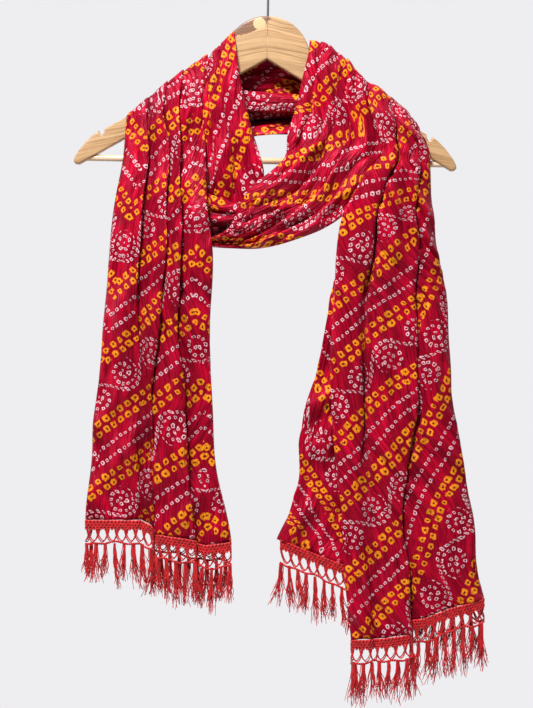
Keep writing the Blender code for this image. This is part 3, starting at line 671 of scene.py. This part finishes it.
    # Painted shade: the colour goes to near-black where the third map holds darkness, only on cloth that
    # faces the camera's side (-Y).
    hollow, _ = finish.flat_map("hollow")
    way = finish.node("ShaderNodeSeparateXYZ", Vector=finish.node("ShaderNodeTexCoord", out=1))
    faces_front = finish.smooth(Sum(finish, way.socket.node.outputs[1]), 0.3, -0.1)
    colour = finish.mix(hollow * faces_front * 0.97, colour, srgb(16, 0, 4))
    finish.paint(colour)

    groove = finish.smooth(abs(strip_place - 0.5), 0.36, 0.5) * finish.smooth(jump, 0.2, 0.7)
    crinkle = finish.noise(finish.vector(u / 2.4, v / 26.0), 1.0, 3.0, 0.6)
    weave = finish.math("SINE", u * 9.0) * finish.math("SINE", v * 9.0)
    height = (crinkle * 0.6 + fine * 0.55 + bold * 0.9 - groove * 0.4
              + (white + large) * 0.12 + weave * 0.015)
    finish.bump(height, 0.001, 0.85)
    finish.feed(finish.shader.inputs["Roughness"], 0.5 - painted_sheen * 0.14)
    return finish.material


def made_mesh(name, shape, sharp_from=None):
    """A smooth mesh from a finished bmesh shape, with its edges sharp from an angle in degrees."""
    mesh = bpy.data.meshes.new(name)
    shape.to_mesh(mesh)
    shape.free()
    mesh.shade_smooth()
    if sharp_from:
        mesh.set_sharp_from_angle(angle=math.radians(sharp_from))
    return mesh


def thicken(piece, wall):
    """Gives a sheet its thickness in mm, half to each side."""
    solid = piece.modifiers.new("wall", "SOLIDIFY")
    solid.thickness = wall * MM
    solid.offset = 0


def new_piece(name, mesh, material, *replaced, slot="cloth"):
    """Puts a finished mesh in the scene, in place of some of the solids."""
    piece = bpy.data.objects.new(name, mesh)
    mesh.materials.append(material)
    collection.objects.link(piece)
    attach(piece, "root")
    if replaced:
        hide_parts(*replaced)
    return piece


def hermite(points, places, at):
    """A smooth curve through points at rising places. A point is a tuple of numbers."""
    last = len(points) - 1
    i = 0
    while i < last - 1 and at > places[i + 1]:
        i += 1
    step = places[i + 1] - places[i]
    t = (at - places[i]) / step

    def slope(k):
        low = max(k - 1, 0)
        high = min(k + 1, last)
        span = places[high] - places[low]
        return [(b - a) / span * step for a, b in zip(points[low], points[high])]

    a = 2 * t**3 - 3 * t**2 + 1
    b = t**3 - 2 * t**2 + t
    c = 3 * t**2 - 2 * t**3
    d = t**3 - t**2
    return [a * p + b * m + c * q + d * n
            for p, m, q, n in zip(points[i], slope(i), points[i + 1], slope(i + 1))]


class Ribbon:
    """A strip of pleated cloth through a list of stations."""

    def __init__(self, stations, folds):
        self.folds = folds
        self.rows = []
        for station in stations:
            row = [*station.first, *station.second, station.facing, *station.bulk, station.drop]
            for fold in folds:
                row.extend(getattr(fold, station.section))
            self.rows.append(row)
        self.places = [0.0]
        for before, after in zip(stations, stations[1:]):
            middle = [(Vector(s.first) + Vector(s.second)) / 2 for s in (before, after)]
            self.places.append(self.places[-1] + (middle[1] - middle[0]).length)

    def wander(self, fold, along, most):
        """How far a fold strays at a place along, as a share."""
        slow = math.sin(along / (31 + 5 * (fold % 3)) + 2.3 * fold)
        quick = math.sin(along / (14 + 3 * (fold % 4)) + 4.1 * fold)
        return most * (0.7 * slow + 0.3 * quick)

    def row(self, fold_places, along):
        """The cloth's middle surface at one place along, and the way that it faces there."""
        row = hermite(self.rows, self.places, along)
        first, second = np.array(row[0:3]), np.array(row[3:6])
        facing = math.radians(row[6])
        out = np.array((0, -math.cos(facing), math.sin(facing)))
        turns = []
        for k, (across, depth) in enumerate(zip(row[10::2], row[11::2])):
            stray = EDGE_STRAY + INNER_STRAY * math.sin(math.pi * k / (len(self.folds) - 1))
            turns.append((across + self.wander(k, along, stray),
                          depth * (1 + self.wander(k + 5, along, DEPTH_STRAY))))
        drops = [fold.drop * row[9] for fold in self.folds]
        rise = np.interp((row[0] + row[3]) / 2, *zip(*CREST_RISE)) * math.sin(facing)
        points = []
        for fold_place in fold_places:
            across, depth = hermite(turns, range(len(turns)), fold_place)
            depth *= row[7] + (row[8] - row[7]) * min(max(across, 0), 1)
            point = first + (second - first) * across + out * depth
            point[2] -= np.interp(fold_place, range(len(drops)), drops)
            point[2] += rise * math.sin(math.pi * min(max(across, 0), 1))
            points.append(point)
        return np.array(points), out


def lengths_along(points, axis):
    """How far along an axis of a grid of points each point is, measured on the cloth."""
    steps = np.linalg.norm(np.diff(points, axis=axis), axis=2)
    start = np.zeros_like(np.take(steps, [0], axis))
    return np.concatenate([start, np.cumsum(steps, axis)], axis)


def fold_places(ribbon, low, high):
    """Columns about a cell apart, counted in folds."""
    coarse = np.linspace(0, len(ribbon.folds) - 1, 8 * (len(ribbon.folds) - 1) + 1)
    reach = np.zeros(len(coarse))
    for share in (0.1, 0.4, 0.7, 0.95):
        points, _ = ribbon.row(coarse, low + (high - low) * share)
        reach += np.concatenate([[0], np.cumsum(np.linalg.norm(np.diff(points, axis=0), axis=1))]) / 4
    columns = round(reach[-1] / CELL)
    return np.interp(np.linspace(0, reach[-1], columns + 1), reach, coarse)


def traced(table, name, flat_u, columns):
    """Each line of a table that lies on a stretch, row by row, with how much of it every point has."""
    shares = np.linspace(0, 1, len(flat_u))
    for line in table:
        if line.stretch != name:
            continue
        low, high = line.share
        t = np.clip((shares - low) / (high - low), 0, 1)
        fold = line.folds[0] + (line.folds[1] - line.folds[0]) * t + 0.06 * np.sin(9 * t + low * 20)
        fade = np.sin(np.pi * t) ** 0.6
        for row, place in enumerate(fold):
            off = (flat_u[row] - np.interp(place, columns, flat_u[row])) / line.width
            yield line, row, fade[row] * np.exp(-off * off)


def crumple(points, outs, flat_u, flat_v, seed):
    """Uneven soft folds, longer along the cloth than across it."""
    chance = np.random.default_rng(seed)
    height = np.zeros_like(flat_u)
    for size in CRUMPLES:
        for _ in range(7):
            lean = chance.uniform(-0.5, 0.5)
            across = math.tau / (size.across * chance.uniform(0.7, 1.5))
            along = math.tau / (size.along * chance.uniform(0.7, 1.6)) * (1 if lean > 0 else -1)
            phase = flat_u * across + flat_v * along + chance.uniform(0, math.tau)
            bend = 1.2 * np.sin(flat_v * math.tau / (2.2 * size.along) + chance.uniform(0, math.tau))
            wave = 1 - 2 * np.abs(np.sin((phase + bend) / 2))
            patch = np.sin(flat_u / (0.9 * size.across) + flat_v / size.along
                           + chance.uniform(0, math.tau))
            height += size.height * np.clip(0.35 + 0.65 * patch, 0, 1) * wave
    height *= 1 - CREST_CALM * np.abs(np.array(outs)[:, 2:])
    points += height[:, :, None] * np.array(outs)[:, None, :]


def panel_print(panel, points, flat_u, columns):
    """Where every point of a panel lies on the flat print: mm along the stripes and across them."""
    middle = np.array([[np.interp(panel.measured_from, columns, row[:, axis]) for axis in range(3)]
                       for row in points])
    steps = np.diff(middle, axis=0)
    walked = np.concatenate([[0], np.cumsum(np.linalg.norm(steps, axis=1))])
    heading = np.gradient(middle, axis=0)
    heading /= np.linalg.norm(heading, axis=1)[:, None]
    v = walked[:, None] + np.einsum("rca,ra->rc", points - middle[:, None, :], heading) - panel.start[1]
    u = flat_u - np.array([np.interp(panel.measured_from, columns, row) for row in flat_u])[:, None]
    if panel.mirror:
        line, shift, meets = panel.mirror
        place = line + shift * (v + panel.start[1])
        u = place - meets * np.abs(u - place)
    slant = math.radians(panel.slant)
    along = panel.up * (u * math.cos(slant) + v * math.sin(slant))
    rise = panel.up * (v * math.cos(slant) - u * math.sin(slant))
    return along * panel.size + panel.start[0], rise * panel.size + FIRST_PAIR


def build_stretch(stretch, cloth):
    """One stretch of the stole as a thin sheet, denser than its solid."""
    name = stretch.name
    ribbon = Ribbon(stretch.ribbon, stretch.folds)
    low, high = ribbon.places[stretch.start], ribbon.places[stretch.end]
    columns = fold_places(ribbon, low, high)
    rows = np.linspace(low, high, round((high - low) / ROW_STEP) + 1)
    made = [ribbon.row(columns, along) for along in rows]
    points = np.array([row for row, _ in made])
    outs = [out for _, out in made]
    flat_u = lengths_along(points, 1)
    flat_v = lengths_along(points, 0)
    if name == "right_tail":
        for row, along in zip(points, rows):
            shift = np.interp(row[0, 2], *zip(*SELVEDGE_MOVES))
            row[:, 0] += shift * np.clip(1 - columns / BACK_LAYER_FOLDS, 0, 1)
    prints = [(panel, panel_print(panel, points, flat_u, columns))
              for panel in PANELS if panel.stretch == name]
    for crease, row, share in traced(CREASES, name, flat_u, columns):
        points[row] += np.outer(crease.depth * share, outs[row])
    # Painted shade for the deep hollows, carried to the shader in a third map.
    dark = np.zeros_like(flat_u)
    for hollow, row, share in traced(PAINTED_SHADE_HOLLOWS, name, flat_u, columns):
        dark[row] = np.maximum(dark[row], hollow.dark * share)
    crumple(points, outs, flat_u, flat_v, len(name) + stretch.start)

    mesh = bpy.data.meshes.new(name + "_cloth")
    grid = bmesh.new()
    across, down = len(columns) - 1, len(rows) - 1
    bmesh.ops.create_grid(grid, x_segments=across, y_segments=down, size=0.5)
    flat = grid.loops.layers.uv.new("flat")
    printed = grid.loops.layers.uv.new("print")
    shaded = grid.loops.layers.uv.new("hollow")
    place_of = {}
    for vertex in grid.verts:
        place = (round((vertex.co.y + 0.5) * down), round((vertex.co.x + 0.5) * across))
        place_of[vertex] = place
        vertex.co = points[place] * MM
    for face in grid.faces:
        places = [place_of[loop.vert] for loop in face.loops]
        fold = sum(columns[column] for _, column in places) / len(places)
        along, rise = next(maps for panel, maps in prints if panel.folds[1] >= fold)
        for loop, place in zip(face.loops, places):
            loop[flat].uv = (flat_u[place] * MM, flat_v[place] * MM)
            loop[printed].uv = (along[place] * MM, rise[place] * MM)
            loop[shaded].uv = (dark[place] * MM, 0)
        face.smooth = True
    grid.to_mesh(mesh)
    grid.free()
    piece = new_piece(name + "_cloth", mesh, cloth, name)
    thicken(piece, WALL)
    size = (float(flat_u.max()) * MM, float(flat_v.max()) * MM)
    area = float(np.mean(flat_u[:, -1]) * np.mean(flat_v[-1])) * MM * MM
    print("sheet", name, [round(s, 3) for s in size], round(area, 4), across * down * 4)
    return piece, size, area


def thread_mesh(name, paths, radius, sides=0):
    """Threads as thin tubes. A path is a list of points with the thread's share of its radius."""
    curve = bpy.data.curves.new(name, "CURVE")
    curve.dimensions = "3D"
    curve.bevel_depth = radius * MM
    curve.bevel_resolution = sides
    for path in paths:
        spline = curve.splines.new("POLY")
        spline.points.add(len(path) - 1)
        for target, (point, share) in zip(spline.points, path):
            target.co = (*(Vector(point) * MM), 1)
            target.radius = share
    drawn = bpy.data.objects.new(name, curve)
    collection.objects.link(drawn)
    bpy.context.view_layer.update()
    graph = bpy.context.evaluated_depsgraph_get()
    mesh = bpy.data.meshes.new_from_object(drawn.evaluated_get(graph))
    bpy.data.objects.remove(drawn)
    mesh.shade_smooth()
    return mesh


class Hem:
    """The line that a stole's end hangs by, measured along its cloth."""

    def __init__(self, ribbon, along):
        places = np.linspace(0, len(ribbon.folds) - 1, 12 * (len(ribbon.folds) - 1) + 1)
        self.points, _ = ribbon.row(places, along)
        steps = np.linalg.norm(np.diff(self.points, axis=0), axis=1)
        self.lengths = np.concatenate([[0], np.cumsum(steps)])
        self.length = self.lengths[-1]

    def at(self, length, down=0.0, out=0.0):
        point = [np.interp(length, self.lengths, self.points[:, axis]) for axis in range(3)]
        return Vector((point[0], point[1] - out, point[2] - down))


def thread_red(name):
    """Red thread, paler where it frays."""
    finish = Finish(name, roughness=0.5, Sheen_Weight=0.1, Sheen_Roughness=0.5)
    place = finish.node("ShaderNodeTexCoord", out=3)
    uneven = finish.noise(place, 160.0, 2.0)
    streaks = finish.noise(place, 900.0, 1.0)
    colour = finish.mix(finish.smooth(uneven, 0.35, 0.65), srgb(178, 0, 18), srgb(216, 8, 26))
    colour = finish.mix(finish.smooth(streaks, 0.56, 0.74) * 0.25, colour, srgb(236, 80, 60))
    finish.paint(colour)
    finish.bump(streaks, 0.0004, 0.8)
    return finish.material


def build_fringe(name, hem, thread):
    """A crocheted band, a net of crossing arches, a twisted cord and frayed tassels."""
    grid = bmesh.new()
    columns = round(hem.length / 1.5)
    bmesh.ops.create_grid(grid, x_segments=columns, y_segments=5, size=0.5)
    for vertex in grid.verts:
        along = (vertex.co.x + 0.5) * hem.length
        share = vertex.co.y + 0.5
        scallop = 1.2 * abs(math.sin(math.pi * along / REPEAT * 2)) * share
        vertex.co = hem.at(along, share * (BAND - 1) + scallop) * MM
    band = new_piece(name + "_band", made_mesh(name + "_band", grid), thread, name, slot="fringe")
    thicken(band, BAND_WALL)

    stitches = []
    for down, phase in ((1.5, 0), (4.6, 0.5), (7.6, 0), (10.2, 0.5)):
        path = []
        steps = round(hem.length / 0.9)
        for step in range(steps + 1):
            along = hem.length * step / steps
            turn = math.tau * (along / 4.2 + phase)
            path.append((hem.at(along, down + 1.3 * math.sin(turn), 0.9 + 0.5 * math.cos(2 * turn)), 1))
        stitches.append(path)
    stitching = new_piece(name + "_stitches", thread_mesh(name, stitches, 0.75), thread, slot="fringe")

    arches = []
    count = round(hem.length / REPEAT)
    repeat = hem.length / count
    for i in range(count):
        for width, shift in ((1.35, 0.0), (1.35, 0.12)):
            path = []
            for step in range(15):
                t = step / 14
                along = (i + shift + width * t) * repeat
                if along > hem.length:
                    break
                deep = BAND - 1 + (NET + 1 - shift * 14) * math.sin(math.pi * t) ** 0.75
                path.append((hem.at(along, deep, 0.5 * math.cos(math.pi * t * 2)), 1))
            if len(path) > 3:
                arches.append(path)
    net = new_piece(name + "_net", thread_mesh(name, arches, 0.7), thread, slot="fringe")

    strands = []
    for phase in (0, math.pi):
        path = []
        steps = round(hem.length / 0.7)
        for step in range(steps + 1):
            along = hem.length * step / steps
            turn = math.tau * along / 5.0 + phase
            sag = 1.3 * math.sin(along / 9.5) + 0.9 * math.sin(along / 4.1)
            down = BAND + NET + CORD / 2 + 0.7 * math.sin(turn) + sag
            path.append((hem.at(along, down, 0.7 * math.cos(turn)), 1))
        strands.append(path)
    cord = new_piece(name + "_cord", thread_mesh(name, strands, 0.8), thread, slot="fringe")

    threads = []
    for i in range(count + 1):
        middle = min(max(i * repeat, 1.5), hem.length - 1.5)
        long = TASSEL + RANDOM.uniform(-7, 9)
        sway = RANDOM.uniform(-5, 5)
        for _ in range(TASSEL_THREADS):
            side = RANDOM.gauss(0, 1)
            front = RANDOM.gauss(0, 1)
            bend = RANDOM.uniform(0, math.tau)
            reach = long * RANDOM.uniform(0.62, 1.06)
            curl = RANDOM.uniform(0.6, 3.0)
            path = []
            for step in range(10):
                t = step / 9
                spread = 0.8 + 2.9 * t * t
                point = hem.at(middle, BAND + NET + CORD / 2 + reach * t)
                point.x += side * spread + sway * t * t + curl * t * math.sin(bend + 7 * t)
                point.y += min(max(front, -1.6), 1.6) * spread * 0.7 + 0.9 * t * math.cos(bend + 5 * t)
                path.append((point, 1 - 0.4 * t * t))
            threads.append(path)
    tassels = new_piece(name + "_tassels", thread_mesh(name, threads, 0.52), thread, slot="fringe")
    return [band, stitching, net, cord, tassels]


def pale_wood():
    """Varnished pale wood with its grain along the arm and a knot in the head's brown patch."""
    finish = Finish("pale_wood", roughness=0.42, Coat_Weight=0.15, Coat_Roughness=0.25)
    place = finish.node("ShaderNodeTexCoord", out=3)
    apart = finish.node("ShaderNodeSeparateXYZ", Vector=place)
    x = apart
    z = Sum(finish, apart.socket.node.outputs[2])
    y = Sum(finish, apart.socket.node.outputs[1])
    across = (z + abs(x) * 0.2) * 1000.0
    along = abs(x) * 1000.0
    wavy = finish.noise(finish.vector(along / 45.0, across / 22.0, 0.0), 1.0, 1.0) * 6.0
    grain = finish.noise(finish.vector(along / 70.0, (across + wavy) / 1.5, y * 120.0), 1.0, 4.0, 0.65)
    bands = finish.noise(finish.vector(along / 160.0, (across + wavy) / 7.0, y * 60.0), 1.0, 2.0)
    colour = finish.mix(finish.smooth(grain, 0.36, 0.68), srgb(200, 164, 120), srgb(152, 114, 76))
    colour = finish.mix(finish.smooth(bands, 0.5, 0.75) * 0.4, colour, srgb(158, 110, 66))
    px = x * 1000.0 + 19.0
    pz = z * 1000.0 + 90.0
    ragged = finish.noise(finish.vector(x * 1000.0, z * 1000.0), 0.22, 3.0) * 9.0
    tilted = pz - px * 0.42
    patch = finish.math("SQRT", px * px * 0.3 + tilted * tilted * 2.4) + ragged
    brown = finish.mix(finish.smooth(grain, 0.3, 0.7), srgb(134, 88, 52), srgb(92, 54, 30))
    colour = finish.mix(finish.smooth(patch, 18.6, 16.4) * 0.92, colour, brown)
    kx = px - 10.0
    kz = pz - 2.0
    knot = finish.math("SQRT", kx * kx + kz * kz)
    colour = finish.mix(finish.smooth(knot + ragged * 0.4, 9.6, 8.2), colour, srgb(200, 170, 124))
    finish.paint(colour)
    finish.bump(grain, 0.0003, 0.5)
    return finish.material


def bar_wood():
    finish = Finish("bar_wood", roughness=0.3, Coat_Weight=0.3, Coat_Roughness=0.15)
    place = finish.node("ShaderNodeTexCoord", out=3)
    stretched = finish.node("ShaderNodeMapping", Vector=place, Scale=(20.0, 400.0, 400.0))
    grain = finish.noise(stretched, 1.0, 3.0)
    finish.paint(finish.mix(finish.smooth(grain, 0.35, 0.65), srgb(232, 208, 178), srgb(208, 174, 134)))
    finish.bump(grain, 0.0002, 0.4)
    return finish.material


def hook_steel():
    finish = Finish("hook_steel", metallic=1.0, roughness=0.25)
    place = finish.node("ShaderNodeTexCoord", out=3)
    drawn = finish.noise(place, 700.0, 2.0)
    finish.paint(finish.mix(drawn, srgb(188, 188, 190), srgb(150, 150, 154)))
    finish.feed(finish.shader.inputs["Roughness"], 0.2 + drawn * 0.16)
    return finish.material


def arm_outline():
    """One arm in the hanger's own frame, with the head's centre at 0 and the mitre at x = 0."""
    start = math.degrees(math.atan2(HEAD_SHOULDER[1], HEAD_SHOULDER[0]))
    points = [(MITRE / 2, HEAD_APEX)]
    points.extend(reversed(ARM_TIP))
    points.extend(reversed(NOTCH))
    points.append(ARM_TOP_END)
    steps = 28
    for step in range(steps):
        angle = math.radians(start + (90 - start) * step / steps)
        points.append((HEAD_RADIUS * math.cos(angle), HEAD_RADIUS * math.sin(angle)))
    points.append((MITRE / 2, HEAD_RADIUS))
    return points


def build_arm(name, side, hanger, wood):
    """One flat arm with rounded rims."""
    solid = bmesh.new()
    corners = [solid.verts.new((side * x, -WOOD / 2, z)) for x, z in arm_outline()]
    front = solid.faces.new(corners)
    pushed = bmesh.ops.extrude_face_region(solid, geom=[front])
    moved = [v for v in pushed["geom"] if isinstance(v, bmesh.types.BMVert)]
    bmesh.ops.translate(solid, verts=moved, vec=(0, WOOD, 0))
    bmesh.ops.recalc_face_normals(solid, faces=solid.faces)
    rims = [edge for edge in solid.edges
            if abs(edge.verts[0].co.y - edge.verts[1].co.y) < 0.1
            and max(abs(v.co.x) for v in edge.verts) > 1]
    bmesh.ops.bevel(solid, geom=rims, offset=EDGE_ROUND, segments=4, profile=0.5, affect="EDGES", material=-1)
    bmesh.ops.triangulate(solid, faces=[face for face in solid.faces if len(face.verts) > 4])
    bmesh.ops.transform(solid, matrix=Matrix.Scale(MM, 4) @ hanger, verts=solid.verts)
    return new_piece(name + "_wood", made_mesh(name + "_wood", solid, SHARP_FROM), wood, name, slot="wood")


def hook_points(hanger):
    """Up the stem, which leans with the hanger, round a bend and over the top of the hook."""
    stem = [hanger @ Vector((0, 0, z)) for z in (HEAD_RADIUS - STEM_DEPTH, HEAD_RADIUS)]
    top = hanger @ Vector((0, 0, STEM_TOP - HEAD_Z))
    points = stem + [top]
    radius = HOOK_INSIDE + WIRE_RADIUS
    arc = []
    steps = 40
    for step in range(steps + 1):
        angle = math.radians(HOOK_FROM + (HOOK_TO - HOOK_FROM) * step / steps)
        arc.append(Vector((radius * math.cos(angle), 0, radius * math.sin(angle) - HOOK_INSIDE)))
    tangent = (arc[1] - arc[0]).normalized()
    up = (top - stem[0]).normalized()
    span = (arc[0] - top).length
    ends = [tuple(top - up * span), tuple(top), tuple(arc[0]), tuple(arc[0] + tangent * span)]
    for step in range(1, 12):
        points.append(Vector(hermite(ends, (0, 1, 2, 3), 1 + step / 12)))
    return points + arc


def build_hanger():
    """The two arms, the bent wire and the round bar."""
    hanger = Matrix.Translation((0, 0, HEAD_Z)) @ Matrix.Rotation(math.radians(TILT), 4, "Y")
    wood = pale_wood()
    build_arm("arm_left", -1, hanger, wood)
    build_arm("arm_right", 1, hanger, wood)
    path = [(point, 1) for point in hook_points(hanger)]
    wire = thread_mesh("hook_wire", [path], WIRE_RADIUS, 5)
    new_piece("hook_wire", wire, hook_steel(), "hook", slot="steel")
    rod = bmesh.new()
    bmesh.ops.create_cone(rod, cap_ends=True, segments=32, radius1=BAR_RADIUS, radius2=BAR_RADIUS,
                          depth=2 * BAR_HALF)
    turn = Matrix.Translation((0, 0, BAR_Z)) @ Matrix.Rotation(math.radians(90), 4, "Y")
    bmesh.ops.transform(rod, matrix=Matrix.Scale(MM, 4) @ hanger @ turn, verts=rod.verts)
    new_piece("bar_rod", made_mesh("bar_rod", rod, SHARP_FROM), bar_wood(), "bar", slot="wood")


def add_light(name, place, target, size, power, colour):
    data = bpy.data.lights.new(name, "AREA")
    data.shape = "DISK"
    data.size = size
    data.energy = power
    data.color = colour[:3]
    light = bpy.data.objects.new(name, data)
    light.location = place
    light.rotation_euler = (Vector(target) - Vector(place)).to_track_quat("-Z", "Y").to_euler()
    bpy.context.scene.collection.objects.link(light)


def set_the_stage():
    """The camera of the photograph, a pale room, one key light and a floor."""
    scene = bpy.context.scene
    scene.view_settings.view_transform = "Standard"
    camera_data = bpy.data.cameras.new("camera")
    camera_data.sensor_width = SENSOR
    camera_data.lens = SENSOR * CAMERA_DISTANCE / FRAME_HEIGHT
    camera = bpy.data.objects.new("camera", camera_data)
    camera.location = (FRAME_CENTRE[0] * MM, -CAMERA_DISTANCE * MM, FRAME_CENTRE[1] * MM)
    camera.rotation_euler = (math.radians(90), 0, 0)
    scene.collection.objects.link(camera)
    scene.camera = camera
    world = bpy.data.worlds.new("pale_room")
    world.use_nodes = True
    tree = world.node_tree
    direction = tree.nodes.new("ShaderNodeTexCoord")
    apart = tree.nodes.new("ShaderNodeSeparateXYZ")
    both = tree.nodes.new("ShaderNodeMath")
    both.operation = "MULTIPLY"
    tree.links.new(direction.outputs["Generated"], apart.inputs[0])
    # The room darkens towards the camera's side and below.
    for slot, (axis, dark, pale) in enumerate(((1, -0.5, 0.4), (2, -0.7, -0.25))):
        ramp = tree.nodes.new("ShaderNodeMapRange")
        ramp.inputs["From Min"].default_value = dark
        ramp.inputs["From Max"].default_value = pale
        ramp.inputs["To Min"].default_value = ROOM_SHADE
        tree.links.new(apart.outputs[axis], ramp.inputs["Value"])
        tree.links.new(ramp.outputs[0], both.inputs[slot])
    background = tree.nodes["Background"]
    background.inputs["Color"].default_value = srgb(238, 237, 240)
    tree.links.new(both.outputs[0], background.inputs["Strength"])
    scene.world = world
    add_light("key", (-0.4, -1.15, 1.1), (0, 0, -0.4), 0.35, 64, (1.0, 0.98, 0.96))
    mesh = bpy.data.meshes.new("floor")
    grid = bmesh.new()
    bmesh.ops.create_grid(grid, x_segments=1, y_segments=1, size=3.0)
    bmesh.ops.translate(grid, verts=grid.verts, vec=(0, 0, FLOOR_Z * MM))
    grid.to_mesh(mesh)
    grid.free()
    floor = bpy.data.objects.new("floor", mesh)
    matt = Finish("pale_floor", roughness=0.9)
    matt.paint(srgb(226, 224, 224))
    mesh.materials.append(matt.material)
    scene.collection.objects.link(floor)


set_the_stage()
cloth = stole_cloth("tie_dyed_stole")
for stretch in STRETCHES:
    build_stretch(stretch, cloth)
left = Ribbon(RIBBON_ONE, FOLDS_ONE)
right = Ribbon(RIBBON_TWO, FOLDS_TWO)
thread = thread_red("fringe_thread")
fringes = {
    "left_tail": build_fringe("left_fringe", Hem(left, left.places[0]), thread),
    "right_tail": build_fringe("right_fringe", Hem(right, right.places[-1]), thread),
}
build_hanger()
